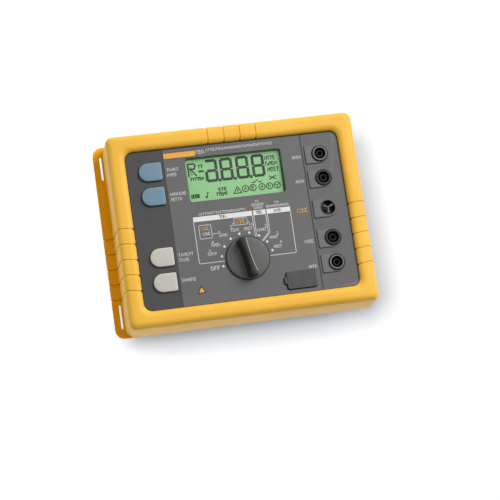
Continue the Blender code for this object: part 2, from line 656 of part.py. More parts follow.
def build_board_parts():
    """Shield can and relay on the underside of the main board."""
    top = BOARD_TOP - BOARD_THICKNESS - GAP
    centre = (-34 * MM, 24 * MM)
    outline = rounded_box((26 * MM, 18 * MM), 2 * MM, centre, 3)
    can = prism("shield_can", [outline], top - 9 * MM, top, "steel")
    inside = prism("can_inside", [rounded_box((25.2 * MM, 17.2 * MM), 1.2 * MM, centre, 3)],
                   top - 8.2 * MM, top + 1 * MM, cutter=True)
    cut(can, inside)
    spot = (36 * MM, 16 * MM, 0.0)
    prism("relay", [rectangle((14 * MM, 9 * MM))], top - 14 * MM, top, "black_plastic", spot)


def build_socket_board():
    """Narrow board that the socket tails are soldered to."""
    holes = [circle(1.4 * MM, (SOCKET_X, y), 8) for y in SOCKET_ROWS]
    holes.append(circle(5.2 * MM, (SOCKET_X, CLAMP_SOCKET_Y), 16))
    outline = rectangle((9 * MM, 64 * MM), (SOCKET_X, 0.0))
    prism("socket_board", [outline] + holes, -34.6 * MM, -33.0 * MM, "board_green")


def build_power_board():
    """Generator board on the rear floor, beside the batteries, with its transformer and capacitor."""
    floor = CASE_BOTTOM + FLOOR_THICKNESS
    bottom = floor + GAP
    centre = (0.0, 38 * MM)
    top = bottom + BOARD_THICKNESS
    prism("power_board", [rectangle((84 * MM, 32 * MM), centre)], bottom, top, "board_green")
    spot = (-30 * MM, 38 * MM, 0.0)
    core = prism("transformer", [rectangle((22 * MM, 18 * MM))], top + GAP, top + 34 * MM, "steel", spot)
    windings = prism("windings", [rounded_box((15 * MM, 24 * MM), 4 * MM, steps=3)], top + 5 * MM,
                     top + 29 * MM, origin=spot, cutter=True)
    fuse(core, windings)
    profile = [(0.0, top + 26 * MM), (11 * MM, top + 26 * MM), (11 * MM, top + GAP), (0.0, top + GAP)]
    turned("capacitor", profile, "black_plastic", (32 * MM, 38 * MM, 0.0), 20)


# Batteries.

def build_battery_tray():
    """Open box above the rear floor that holds the six cells."""
    floor = CASE_BOTTOM + FLOOR_THICKNESS + GAP
    centre = (0.0, DOOR_CENTRE_Y)
    outer = [side + 1.5 * MM for side in TRAY_HALF]
    tray = prism("battery_tray", [rounded_box(outer, 2 * MM, centre, 2)], floor, -71 * MM, "black_plastic")
    inside = prism("tray_inside", [rounded_box(TRAY_HALF, 1 * MM, centre, 2)], floor - 1 * MM,
                   -72.5 * MM, cutter=True)
    cut(tray, inside)


def build_cells():
    """Six cells side by side between a sprung contact plate and a flat one."""
    near_end = DOOR_CENTRE_Y - TRAY_HALF[1]
    far_end = DOOR_CENTRE_Y + TRAY_HALF[1]
    start = near_end + 5.2 * MM
    profile = [(0.0, 0.0), (CELL_RADIUS, 0.0), (CELL_RADIUS, -CELL_LENGTH), (2.7 * MM, -CELL_LENGTH),
               (2.7 * MM, -CELL_LENGTH - 1 * MM), (0.0, -CELL_LENGTH - 1 * MM)]
    plate = (46 * MM, 0.25 * MM)
    low = CELL_Z - 5 * MM
    high = CELL_Z + 5 * MM
    near_y = near_end + 0.6 * MM
    sprung = prism("sprung_contact_plate", [rectangle(plate, (0.0, near_y))], low, high, "steel")
    prism("flat_contact_plate", [rectangle(plate, (0.0, far_end - 0.6 * MM))], low, high, "steel")
    for number in range(6):
        x = (number - 2.5) * CELL_PITCH
        cell = turned("battery_%d" % (number + 1), profile, "cell_wrap", (x, start, CELL_Z), 16)
        cell.rotation_euler.x = math.radians(90)
        fuse(sprung, contact_spring((x, near_y, CELL_Z), start - near_y - 0.7 * MM))


def contact_spring(start, length):
    """A conical coil along Y, standing on the sprung contact plate."""
    curve = bpy.data.curves.new("coil", "CURVE")
    curve.dimensions = "3D"
    curve.bevel_depth = 0.35 * MM
    curve.bevel_resolution = 0
    curve.use_fill_caps = True
    turns = 2.5
    steps = 15
    spline = curve.splines.new("POLY")
    spline.points.add(steps)
    for i, point in enumerate(spline.points):
        share = i / steps
        angle = share * turns * 2 * math.pi
        radius = (4.2 - 2.0 * share) * MM
        point.co = (radius * math.cos(angle), share * length, radius * math.sin(angle), 1.0)
    return place(bpy.data.objects.new("coil", welded_mesh(curve, "coil")), start, collection=CUTTERS)


def build_battery_door():
    """Door in the rear floor, held by two quarter-turn screws."""
    centre = (0.0, DOOR_CENTRE_Y)
    top = CASE_BOTTOM + 1.3 * MM
    screw_spots = [(side * DOOR_SCREW_X, DOOR_CENTRE_Y) for side in (1, -1)]
    holes = [circle(3.4 * MM, spot, 16) for spot in screw_spots]
    door = prism("battery_door", [rounded_box(DOOR_HALF, 2.7 * MM, centre, 3)] + holes, CASE_BOTTOM,
                 top, "case_grey")
    key_half = [side - 0.4 * MM for side in TRAY_HALF]
    block = prism("door_block", [rounded_box(key_half, 1 * MM, centre, 2)], top - 0.5 * MM,
                  top + 2.0 * MM, cutter=True)
    fuse(door, block)
    head_top = CASE_BOTTOM + 1.2 * MM
    profile = [(0.0, -83 * MM), (1.5 * MM, -83 * MM), (1.5 * MM, head_top), (3.1 * MM, head_top),
               (3.1 * MM, CASE_BOTTOM), (0.0, CASE_BOTTOM)]
    for name, spot in zip(("door_screw_right", "door_screw_left"), screw_spots):
        screw = turned(name, profile, "steel", (*spot, 0.0), 20)
        slot = prism(name + "_slot", [rectangle((3.5 * MM, 0.45 * MM))], CASE_BOTTOM - 1 * MM,
                     CASE_BOTTOM + 0.7 * MM, origin=(*spot, 0.0), cutter=True)
        cut(screw, slot)


build_boot()
build_front_case()
build_rear_case()
build_gasket()
build_case_screws()
build_feet()
build_plates()
build_keys()
build_display()
build_knob()
build_rotary_switch()
build_sockets()
build_clamp_socket()
build_usb()
build_main_board()
build_board_parts()
build_socket_board()
build_power_board()
build_battery_tray()
build_cells()
build_battery_door()
for part in PARTS.objects:
    if part.type == "MESH":
        smooth(part)
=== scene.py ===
"""Looks of the earth resistance tester: fine pieces, printed marks and materials round the CAD frame."""

import math
import random

import bmesh
import bpy
from mathutils import Matrix, Vector


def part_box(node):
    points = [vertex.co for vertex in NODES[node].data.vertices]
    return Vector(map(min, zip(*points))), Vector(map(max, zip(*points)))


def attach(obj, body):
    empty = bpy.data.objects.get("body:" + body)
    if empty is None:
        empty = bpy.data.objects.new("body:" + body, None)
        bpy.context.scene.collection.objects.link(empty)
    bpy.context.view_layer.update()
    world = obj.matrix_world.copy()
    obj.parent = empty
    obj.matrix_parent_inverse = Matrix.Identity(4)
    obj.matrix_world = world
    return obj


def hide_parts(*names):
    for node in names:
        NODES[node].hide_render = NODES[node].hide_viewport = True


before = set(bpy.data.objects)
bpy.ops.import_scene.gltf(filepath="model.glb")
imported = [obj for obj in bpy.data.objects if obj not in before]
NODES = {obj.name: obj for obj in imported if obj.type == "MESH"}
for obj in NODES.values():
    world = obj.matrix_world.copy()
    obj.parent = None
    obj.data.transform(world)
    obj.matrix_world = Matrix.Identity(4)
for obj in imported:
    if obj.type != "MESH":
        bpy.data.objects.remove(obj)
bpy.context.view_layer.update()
MM = 0.001
TESTER = "tester"

# The panel's own axes: millimetres from the middle of the window, on top of the face plate.
shaft_low, shaft_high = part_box("switch_shaft")
plate_low, plate_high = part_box("face_plate")
PANEL = Vector(((shaft_low.x + shaft_high.x) / 2, (plate_low.y + plate_high.y) / 2, plate_high.z))
KNOB_Y = ((shaft_low.y + shaft_high.y) / 2 - PANEL.y) / MM
KNOB_ANGLE = math.radians(101.25)

# The printed dial: its dots run clockwise from DIAL_FIRST degrees.
DIAL_RADIUS, DIAL_Y = 24.5, -37.3
DIAL_POSITIONS, DIAL_FIRST, DIAL_STEP = 9, 191.25, 22.5

KEYS = {"start_key": "key_blue", "display_key": "key_blue", "change_key": "key_light",
        "select_key": "key_light"}
SOCKET_X = 83.0
SOCKETS = {"current": 55.0, "potential": 31.3, "sense": -27.1, "earth": -51.1}
CLAMP_Y = 2.0
KEY_HALF = (11.0, 8.8)

# The boot: heights, the straight stretches of its sides, and its shallow grip grooves.
BOOT_BASE, CASE_TOP = -38.0, -0.9
BOOT_SPAN_Y = 186.0
BOOT_STRAIGHT_X, BOOT_STRAIGHT_Y = 93.7, 67.4
GROOVE_FLOOR, GROOVE_LIP, GROOVE_DEPTH = 0.6, 1.1, 0.9
BOOT_GROOVES_SIDE = (2.6, -12.2, -27.0, -41.6, -56.4)
BOOT_GROOVES_TOP = (-22.2, -6.7, 8.7, 24.0)


def at(point):
    """Frame position, in metres, of a panel point in millimetres."""
    return PANEL + Vector(point) * MM


def panel_box(node):
    """A CAD node's lowest and highest corners in panel millimetres."""
    low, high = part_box(node)
    return (low - PANEL) / MM, (high - PANEL) / MM


# Materials. Bump distances are in metres; a roughness varies by GLOSS_SPAN.

GRAIN_DEPTH, WAVE_DEPTH = 0.0001, 0.001
GLOSS_SPAN = 0.08


def linear(colour):
    """Linear values of a display colour given from 0 to 255."""
    out = []
    for value in colour:
        v = value / 255
        out.append(v / 12.92 if v <= 0.04045 else ((v + 0.055) / 1.055) ** 2.4)
    return out


class Nodes:
    """Short calls for building one material's node tree."""

    def __init__(self, name):
        self.material = bpy.data.materials.new(name)
        self.material.use_nodes = True
        self.tree = self.material.node_tree
        self.shader = self.tree.nodes["Principled BSDF"]
        self.coords = self.add("ShaderNodeTexCoord").outputs["Object"]

    def add(self, kind, **settings):
        node = self.tree.nodes.new(kind)
        for key, value in settings.items():
            setattr(node, key, value)
        return node

    def link(self, source, target):
        self.tree.links.new(source, target)

    def noise(self, scale, detail=3.0, roughness=0.5, stretch=None):
        node = self.add("ShaderNodeTexNoise")
        node.inputs["Scale"].default_value = scale
        node.inputs["Detail"].default_value = detail
        node.inputs["Roughness"].default_value = roughness
        source = self.coords
        if stretch:
            mapping = self.add("ShaderNodeMapping")
            mapping.inputs["Scale"].default_value = stretch
            self.link(source, mapping.inputs["Vector"])
            source = mapping.outputs["Vector"]
        self.link(source, node.inputs["Vector"])
        return node.outputs["Fac"]

    def ranged(self, source, low, high, start=0.3, stop=0.7):
        """Maps a value that runs from start to stop onto low to high."""
        node = self.add("ShaderNodeMapRange")
        for key, value in (("From Min", start), ("From Max", stop), ("To Min", low), ("To Max", high)):
            node.inputs[key].default_value = value
        self.link(source, node.inputs["Value"])
        return node.outputs["Result"]

    def mix(self, factor, first, second):
        """Blends two colours, each a list of linear values or a socket."""
        node = self.add("ShaderNodeMix", data_type="RGBA")
        for index, value in ((6, first), (7, second)):
            if isinstance(value, (list, tuple)):
                node.inputs[index].default_value = (*value[:3], 1.0)
            else:
                self.link(value, node.inputs[index])
        self.link(factor, node.inputs[0])
        return node.outputs[2]

    def bump(self, height, strength, distance, under=None):
        node = self.add("ShaderNodeBump")
        node.inputs["Strength"].default_value = strength
        node.inputs["Distance"].default_value = distance
        self.link(height, node.inputs["Height"])
        if under is not None:
            self.link(under, node.inputs["Normal"])
        return node.outputs["Normal"]

    def set(self, **values):
        """Sets inputs of the shader, whose names are given with underscores."""
        for key, value in values.items():
            self.shader.inputs[key.replace("_", " ")].default_value = value


def plastic(name, colour, rough=0.5, mottle=0.06, grain=0.08, grain_scale=1500.0, specular=0.4,
            wear=0.0):
    """Moulded plastic or rubber: faint mottling, uneven gloss, fine grain, and lighter worn edges."""
    n = Nodes(name)
    base = linear(colour)
    dark = [v * (1 - mottle) for v in base]
    light = [min(1.0, v * (1 + mottle)) for v in base]
    tone = n.mix(n.ranged(n.noise(45.0, 4.0), 0.0, 1.0), dark, light)
    if wear:
        edge = n.ranged(n.add("ShaderNodeNewGeometry").outputs["Pointiness"], 0.0, wear, 0.51, 0.58)
        worn = [min(1.0, v * 1.35 + 0.02) for v in base]
        tone = n.mix(edge, tone, worn)
    n.link(tone, n.shader.inputs["Base Color"])
    gloss = n.ranged(n.noise(120.0, 5.0, 0.6), rough - GLOSS_SPAN, rough + GLOSS_SPAN)
    n.link(gloss, n.shader.inputs["Roughness"])
    fine = n.bump(n.noise(grain_scale, 2.0), grain, GRAIN_DEPTH)
    n.link(n.bump(n.noise(35.0, 2.0), 0.05, WAVE_DEPTH, fine), n.shader.inputs["Normal"])
    n.set(Specular_IOR_Level=specular)
    return n.material


def metal(name, colour, rough=0.3):
    """Plated or turned metal with fine brushed lines and uneven gloss."""
    n = Nodes(name)
    base = linear(colour)
    tone = n.mix(n.noise(90.0, 3.0), [v * 0.85 for v in base], base)
    n.link(tone, n.shader.inputs["Base Color"])
    lines = n.noise(900.0, 2.0, 0.5, (1.0, 1.0, 30.0))
    n.link(n.ranged(lines, rough - GLOSS_SPAN, rough + 0.12), n.shader.inputs["Roughness"])
    n.link(n.bump(lines, 0.12, GRAIN_DEPTH), n.shader.inputs["Normal"])
    n.set(Metallic=1.0)
    return n.material


def boot_material(name, colour, deep_colour, specular):
    """Soft yellow rubber: satin, faintly mottled, with fine grain and a little rubbed-in dust."""
    n = Nodes(name)
    base = linear(colour)
    deep = linear(deep_colour)
    tone = n.mix(n.ranged(n.noise(16.0, 4.0), 0.0, 1.0), deep, base)
    dust = n.ranged(n.noise(210.0, 6.0, 0.7), 0.0, 0.16, 0.55, 0.8)
    tone = n.mix(dust, tone, linear((225, 175, 95)))
    n.link(tone, n.shader.inputs["Base Color"])
    n.link(n.ranged(n.noise(80.0, 5.0, 0.6), 0.40, 0.54), n.shader.inputs["Roughness"])
    fine = n.bump(n.noise(1300.0, 2.0), 0.10, GRAIN_DEPTH)
    n.link(n.bump(n.noise(28.0, 2.0), 0.06, WAVE_DEPTH, fine), n.shader.inputs["Normal"])
    n.set(Specular_IOR_Level=specular)
    n.set(Sheen_Weight=specular * 0.1)
    n.set(Sheen_Roughness=0.4)
    return n.material


def grip_painted_shade_material():
    """The grip's dark plastic with painted shade: black on the left of the crest, turning grey towards its
    lit right edge.
    """
    n = Nodes("knob_grip")
    across = n.add("ShaderNodeVectorMath", operation="DOT_PRODUCT")
    c, s = math.cos(KNOB_ANGLE), math.sin(KNOB_ANGLE)
    across.inputs[1].default_value = (-s / MM, c / MM, 0.0)
    n.link(n.coords, across.inputs[0])
    middle = (-s * PANEL.x + c * (PANEL.y + KNOB_Y * MM)) / MM
    # Painted shade: the grip darkens away from its lit right edge, as if the light came from the right.
    share = n.ranged(across.outputs["Value"], 1.0, 0.0, middle - 1.4, middle + 2.2)
    tone = n.mix(share, linear((50, 48, 44)), linear((96, 93, 89)))
    mottled = n.mix(n.ranged(n.noise(45.0, 4.0), 0.0, 0.25), tone, linear((44, 43, 40)))
    n.link(mottled, n.shader.inputs["Base Color"])
    n.link(n.ranged(n.noise(120.0, 5.0), 0.36, 0.5), n.shader.inputs["Roughness"])
    n.link(n.bump(n.noise(1500.0, 2.0), 0.08, GRAIN_DEPTH), n.shader.inputs["Normal"])
    n.set(Specular_IOR_Level=0.3)
    return n.material


def lens_material():
    """Clear lens: almost see-through, with a soft gloss and faint smears."""
    n = Nodes("clear_lens")
    n.link(n.ranged(n.noise(60.0, 4.0), 0.04, 0.12), n.shader.inputs["Roughness"])
    n.link(n.ranged(n.noise(60.0, 4.0), 0.06, 0.10), n.shader.inputs["Alpha"])
    n.set(Base_Color=(0.42, 0.46, 0.42, 1.0))
    return n.material


def display_material():
    """Backlit liquid crystal cell: even green with a very fine dither and a soft glow."""
    n = Nodes("display_green")
    tone = n.mix(n.noise(30.0, 2.0), linear((116, 171, 110)), linear((125, 179, 119)))
    fine = n.mix(n.ranged(n.noise(2600.0, 1.0), 0.0, 0.12), tone, linear((96, 149, 90)))
    n.link(fine, n.shader.inputs["Base Color"])
    n.link(fine, n.shader.inputs["Emission Color"])
    n.link(n.ranged(n.noise(100.0), 0.30, 0.42), n.shader.inputs["Roughness"])
    n.set(Emission_Strength=0.5)
    return n.material


def board_material():
    """Solder mask with faint tracks."""
    n = Nodes("board_green")
    n.link(n.mix(n.noise(300.0, 1.0, 0.5, (1.0, 8.0, 1.0)), linear((10, 74, 38)), linear((18, 96, 50))),
           n.shader.inputs["Base Color"])
    n.link(n.ranged(n.noise(200.0), 0.25, 0.45), n.shader.inputs["Roughness"])
    return n.material


PAINT = {
    "boot_rubber": boot_material("boot_rubber", (246, 191, 69), (240, 182, 59), 0.3),
    # The flange's deeper, more saturated orange is painted bounce light: the yellow glow that the wall throws
    # onto the shaded flange.
    "flange_painted_bounce": boot_material("flange_painted_bounce", (255, 184, 12), (250, 176, 8), 0.12),
    "case_grey": plastic("case_grey", (74, 74, 74), 0.55, grain=0.35, grain_scale=900.0, wear=0.4),
    "panel_grey": plastic("panel_grey", (97, 97, 97), 0.5, mottle=0.03, grain=0.10),
    "strip_dark": plastic("strip_dark", (66, 66, 67), 0.5, mottle=0.03, grain=0.10),
    "strip_grey": plastic("strip_grey", (93, 93, 93), 0.5, mottle=0.03, grain=0.12, wear=0.5),
    "key_blue": plastic("key_blue", (110, 139, 158), 0.48, mottle=0.03, wear=0.7),
    "key_light": plastic("key_light", (194, 191, 182), 0.48, mottle=0.03, wear=0.7),
    "knob_black": plastic("knob_black", (40, 39, 36), 0.42, mottle=0.05, wear=0.5, specular=0.3),
    "knob_grey": plastic("knob_grey", (94, 94, 92), 0.5, mottle=0.05, specular=0.3, wear=0.5),
    "knob_grip": grip_painted_shade_material(),
    "pointer_and_highlight_grey": plastic("pointer_and_highlight_grey", (186, 183, 177), 0.5, mottle=0.03),
    "white_print": plastic("white_print", (226, 226, 222), 0.6, mottle=0.03),
    "display_green": display_material(),
    "clear_lens": lens_material(),
    "black_plastic": plastic("black_plastic", (34, 34, 34), 0.5, grain=0.2),
    "socket_black": plastic("socket_black", (36, 34, 33), 0.45, specular=0.2),
    "contact_brass": metal("contact_brass", (50, 47, 44), 0.5),
    "cover_rubber": plastic("cover_rubber", (72, 72, 72), 0.6, grain=0.25),
    "rubber_black": plastic("rubber_black", (32, 32, 32), 0.75, grain=0.4, grain_scale=1100.0),
    "steel": metal("steel", (190, 190, 192)),
    "core_steel": metal("core_steel", (110, 108, 104), 0.45),
    "board_green": board_material(),
    "cell_wrap": plastic("cell_wrap", (40, 44, 92), 0.35),
    "print_grey": plastic("print_grey", (205, 205, 203), 0.6, mottle=0.03),
    # Dark print on the bands, and also the painted shadow lines at the socket pads' edges.
    "dark_print_and_shade": plastic("dark_print_and_shade", (66, 66, 66), 0.6),
    "print_orange": plastic("print_orange", (234, 168, 62), 0.5, mottle=0.05),
    "display_shade": plastic("display_shade", (66, 84, 66), 0.5),
    "segment_dark": plastic("segment_dark", (7, 12, 8), 0.5, specular=0.15),
    "ring_light": plastic("ring_light", (118, 116, 112), 0.45),
    "ring_dark": plastic("ring_dark", (48, 45, 46), 0.45),
}

CAD_PAINT = {
    "case_grey": ("front_case", "rear_case", "battery_door"),
    "panel_grey": ("face_plate",),
    "strip_dark": ("key_strip",),
    "strip_grey": ("socket_strip",),
    "display_green": ("display_cell",),
    "clear_lens": ("display_lens",),
    "black_plastic": ("display_frame", "rotary_switch", "relay", "battery_tray", "capacitor"),
    "rubber_black": ("case_gasket", "keypad_mat", *("rubber_foot_%d" % i for i in range(1, 5))),
    "steel": ("usb_port", "shield_can", "sprung_contact_plate",
              "flat_contact_plate", "door_screw_left", "door_screw_right",
              *("case_screw_%d" % i for i in range(1, 5))),
    "core_steel": ("transformer",),
    "board_green": ("main_board", "socket_board", "power_board"),
    "cell_wrap": tuple("battery_%d" % i for i in range(1, 7)),
    "contact_brass": tuple(name + "_contact" for name in SOCKETS),
}


def paint_frame():
    """Gives the CAD nodes that stay their materials, and softens the edges of the large ones."""
    soft = {"rear_case": 0.5, "battery_door": 0.5, "face_plate": 0.12, "key_strip": 0.12,
            "socket_strip": 0.16}
    for paint, nodes in CAD_PAINT.items():
        for node in nodes:
            thing = NODES[node]
            for slot in thing.material_slots:
                slot.material = PAINT[paint]
            if node in soft:
                bevel(thing, soft[node])


# Building blocks: outlines in panel millimetres, solids in the frame's metres.

def arc(centre, radius, start, end, steps):
    angles = [math.radians(start + (end - start) * i / steps) for i in range(steps + 1)]
    return [(centre[0] + radius * math.cos(a), centre[1] + radius * math.sin(a)) for a in angles]


def circle(radius, centre=(0.0, 0.0), steps=48):
    return arc(centre, radius, 0, 360, steps)[:-1]


def corner_box(x_span, y_span, radii, steps=8):
    """A rectangle whose corner radii are given as right-top, left-top, left-bottom, right-bottom."""
    corners = ((1, 1, 0), (-1, 1, 90), (-1, -1, 180), (1, -1, 270))
    points = []
    for (side_x, side_y, start), radius in zip(corners, radii):
        x = x_span[1] if side_x > 0 else x_span[0]
        y = y_span[1] if side_y > 0 else y_span[0]
        middle = (x - side_x * radius, y - side_y * radius)
        points += arc(middle, radius, start, start + 90, steps) if radius > 0 else [middle]
    return points


def round_box(half, radius, centre=(0.0, 0.0), steps=8):
    x_span = (centre[0] - half[0], centre[0] + half[0])
    y_span = (centre[1] - half[1], centre[1] + half[1])
    return corner_box(x_span, y_span, (radius,) * 4, steps)


def key_outline(grow):
    """A key's outline about its middle: flat on the right, a half circle on the left."""
    half_x, half_y = (half + grow for half in KEY_HALF)
    small = max(0.3, 1.9 + grow)
    big = half_y - 0.01
    return corner_box((-half_x, half_x), (-half_y, half_y), (small, big, big, small), 12)


def frame_mesh(name, bm):
    """Turns a bmesh in panel millimetres into a mesh in frame metres."""
    bmesh.ops.recalc_face_normals(bm, faces=bm.faces)
    for vertex in bm.verts:
        vertex.co = at(vertex.co)
    mesh = bpy.data.meshes.new(name)
    bm.to_mesh(mesh)
    bm.free()
    return mesh


def add_piece(name, bm, paint, body=TESTER, angle=38.0):
    """Finishes a bmesh, in panel millimetres, as a piece that rides on a body."""
    mesh = frame_mesh(name, bm)
    mesh.materials.append(PAINT[paint])
    mesh.shade_smooth()
    mesh.set_sharp_from_angle(angle=math.radians(angle))
    thing = bpy.data.objects.new(name, mesh)
    bpy.context.scene.collection.objects.link(thing)
    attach(thing, body)
    return thing


def bevel(thing, width, angle=35.0):
    """Rounds the sharp edges by width millimetres."""
    modifier = thing.modifiers.new("soft_edges", "BEVEL")
    modifier.width = width * MM
    modifier.segments = 2
    modifier.limit_method = "ANGLE"
    modifier.angle_limit = math.radians(angle)
    modifier.harden_normals = True
    return thing


def rings_mesh(rings, closed=False):
    """Joins equal rings of points with quads, and closes both ends unless the rings run in a loop."""
    bm = bmesh.new()
    rows = [[bm.verts.new(point) for point in ring] for ring in rings]
    pairs = list(zip(rows, rows[1:]))
    if closed:
        pairs.append((rows[-1], rows[0]))
    for first, second in pairs:
        for index in range(len(first)):
            following = (index + 1) % len(first)
            bm.faces.new((first[index], first[following], second[following], second[index]))
    if not closed:
        bm.faces.new(rows[0])
        bm.faces.new(rows[-1])
    return bm


def lifted(outline, height, offset=(0.0, 0.0)):
    return [(x + offset[0], y + offset[1], height) for x, y in outline]


def slab_mesh(outlines, bottom, top):
    """A plate with holes: the first outline is its edge and the others are holes."""
    bm = bmesh.new()
    edges = []
    for outline in outlines:
        row = [bm.verts.new((x, y, bottom)) for x, y in outline]
        edges += [bm.edges.new((row[i - 1], row[i])) for i in range(len(row))]
    bmesh.ops.triangle_fill(bm, use_beauty=True, use_dissolve=False, edges=edges)
    made = bmesh.ops.extrude_face_region(bm, geom=list(bm.faces))
    moved = [item for item in made["geom"] if isinstance(item, bmesh.types.BMVert)]
    bmesh.ops.translate(bm, verts=moved, vec=(0.0, 0.0, top - bottom))
    return bm


def slab(name, outlines, bottom, top, paint, body=TESTER, width=0.0):
    thing = add_piece(name, slab_mesh(outlines, bottom, top), paint, body)
    return bevel(thing, width) if width else thing


def turned(name, profile, centre, paint, body=TESTER, steps=64, closed=False):
    """A turned piece from (radius, height) pairs about a vertical axis."""
    rings = []
    for index in range(steps):
        a = 2 * math.pi * index / steps
        rings.append([(centre[0] + r * math.cos(a), centre[1] + r * math.sin(a), z) for r, z in profile])
    bm = bmesh.new()
    rows = [[bm.verts.new(point) for point in ring] for ring in rings]
    count = len(profile)
    spans = range(count if closed else count - 1)
    for first, second in zip(rows, rows[1:] + rows[:1]):
        for index in spans:
            following = (index + 1) % count
            bm.faces.new((first[index], first[following], second[following], second[index]))
    bmesh.ops.remove_doubles(bm, verts=bm.verts, dist=0.001)
    return add_piece(name, bm, paint, body)


def cut(thing, bm):
    """Subtracts a bmesh, in panel millimetres, and keeps the result in the piece's mesh."""
    tool = bpy.data.objects.new("cutter", frame_mesh("cutter", bm))
    bpy.context.scene.collection.objects.link(tool)
    modifier = thing.modifiers.new("cut", "BOOLEAN")
    modifier.object = tool
    modifier.operation = "DIFFERENCE"
    modifier.solver = "EXACT"
    bpy.context.view_layer.update()
    evaluated = thing.evaluated_get(bpy.context.evaluated_depsgraph_get())
    result = bpy.data.meshes.new_from_object(evaluated)
    thing.modifiers.remove(modifier)
    old = thing.data
    thing.data = result
    bpy.data.meshes.remove(old)
    bpy.data.objects.remove(tool)
    result.set_sharp_from_angle(angle=math.radians(35.0))


# The rubber boot.

def side_stations(limit, grooves):
    """Places along a straight side, each with how far it lies in a groove."""
    stations = [(-limit, 0.0)]
    for place in sorted(grooves):
        stations += [(place - GROOVE_LIP, 0.0), (place - GROOVE_FLOOR, 1.0),
                     (place + GROOVE_FLOOR, 1.0), (place + GROOVE_LIP, 0.0)]
    return stations + [(limit, 0.0)]


def boot_ring(half, radius, height, sink_in, sink_down, draw=0.0):
    """One line round the boot. Grooves push it in and down; draw pulls its near side inwards."""
    sides = side_stations(BOOT_STRAIGHT_Y, BOOT_GROOVES_SIDE)
    top = side_stations(BOOT_STRAIGHT_X, BOOT_GROOVES_TOP)
    bottom = side_stations(BOOT_STRAIGHT_X, ())
    points = []

    def corner(sign_x, sign_y, start):
        middle = (sign_x * (half[0] - radius), sign_y * (half[1] - radius))
        points.extend((x, y, height) for x, y in arc(middle, radius, start, start + 90, 12))

    for y, weight in sides:
        points.append((half[0] - sink_in * weight, y, height - sink_down * weight))
    corner(1, 1, 0)
    for x, weight in reversed(top):
        points.append((x, half[1] - sink_in * weight, height - sink_down * weight))
    corner(-1, 1, 90)
    for y, weight in reversed(sides):
        points.append((-half[0] + sink_in * weight, y, height - sink_down * weight))
    corner(-1, -1, 180)
    for x, _ in bottom:
        points.append((x, -half[1], height))
    corner(1, -1, 270)
    return [(x, y + draw * (0.5 - y / BOOT_SPAN_Y), z) for x, y, z in points]


def build_boot():
    """Boot with a rounded bezel, grip grooves over bezel and walls, and a slotted flange."""
    depth = GROOVE_DEPTH
    window, window_round = (102.4, 76.1), 8.0
    crown, crown_round = (118.3, 92.9), 6.6
    base, base_round = (120.4, 93.0), 8.4
    top, inner_round, outer_round = 4.5, 6.6, 6.0
    near_draw = 1.3
    rows = [(window, window_round, CASE_TOP, -depth, 0.0), (window, window_round, 1.0, -depth, 0.0)]
    for step in range(5, -1, -1):
        a = math.radians(11 * step)
        reach = 0.15 + inner_round * (math.sin(math.radians(55)) - math.sin(a))
        rows.append(([side + reach for side in window], window_round + reach * 0.25,
                     top - inner_round * (1 - math.cos(a)), -depth * math.sin(a), depth * math.cos(a)))
    for step in range(8):
        a = math.radians(90 * step / 7)
        reach = outer_round * (math.sin(a) - 1)
        rows.append(([side + reach for side in crown], crown_round + reach * 0.45,
                     top - outer_round * (1 - math.cos(a)), depth * math.sin(a), depth * math.cos(a),
                     near_draw))
    for height in (-14.0, -34.0, -37.2):
        share = (height - BOOT_BASE) / (top - outer_round - BOOT_BASE)
        half = [b + (c - b) * share for b, c in zip(base, crown)]
        radius = base_round + (crown_round - base_round) * share
        rows.append((half, radius, height, depth, 0.0, near_draw * share))
    inside, inside_round = (107.8, 81.8), 12.3
    rows += [((120.2, 92.8), 8.3, BOOT_BASE + 0.3, depth, 0.0), ((119.7, 92.4), 8.1, BOOT_BASE, 0.0, 0.0),
             (inside, inside_round, BOOT_BASE, 0.0, 0.0), (inside, inside_round, CASE_TOP, 0.0, 0.0)]
    rings = [boot_ring(*row) for row in rows]
    boot = add_piece("boot_shell", rings_mesh(rings, closed=True), "boot_rubber", angle=50.0)
    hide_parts("rubber_boot")

    flange_top, groove_half = -34.0, 0.65
    outline = corner_box((-129.5, -108.6), (-93.0, 93.0), (0.0, 9.0, 9.0, 0.0), 10)
    flange = slab("boot_flange", [outline], BOOT_BASE, flange_top, "flange_painted_bounce")
    for side in (1, -1):
        cut(flange, slab_mesh([round_box((1.0, 11.6), 0.9, (-122.4, side * 72.3))], -45.0, -28.0))
    for y in BOOT_GROOVES_SIDE:
        cut(flange, slab_mesh([round_box((8.0, groove_half), 0.1, (-123.0, y))], -35.3, -30.0))
        cut(flange, slab_mesh([round_box((3.0, groove_half), 0.1, (-131.7, y))], -40.0, -30.0))
    bevel(flange, 0.5)


# Keys and knob.

FLANK_STEPS = 8


def build_keys():
    """Soft keys with rounded shoulders and a faintly crowned top, and the dark gap round each."""
    shoulder = ((0.0, -3.9), (0.0, 1.55), (-0.10, 1.95), (-0.32, 2.27), (-0.68, 2.46), (-1.2, 2.53),
                (-3.0, 2.6), (-5.5, 2.62))
    for name, paint in KEYS.items():
        low, high = panel_box(name)
        centre = ((low.x + high.x) / 2, (low.y + high.y) / 2)
        rings = [lifted(key_outline(grow), z, centre) for grow, z in shoulder]
        key = add_piece(name + "_cap", rings_mesh(rings), paint, name)
        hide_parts(name)
        gap = [[(x + centre[0], y + centre[1]) for x, y in key_outline(grow)] for grow in (0.75, 0.05)]
        slab(name + "_gap", gap, -0.3, 0.05, "rubber_black")


def knob_points(u, v, z):
    """Panel position of a point given along the grip, across it and upwards."""
    c, s = math.cos(KNOB_ANGLE), math.sin(KNOB_ANGLE)
    return (u * c - v * s, KNOB_Y + u * s + v * c, z)


def grip_edges(u):
    """How far the grip's top reaches to its right and left at u: waisted, and wider at the ends."""
    spread = 1.3 * (u / 18.0) ** 2
    return 0.95 + spread, 2.9 + spread


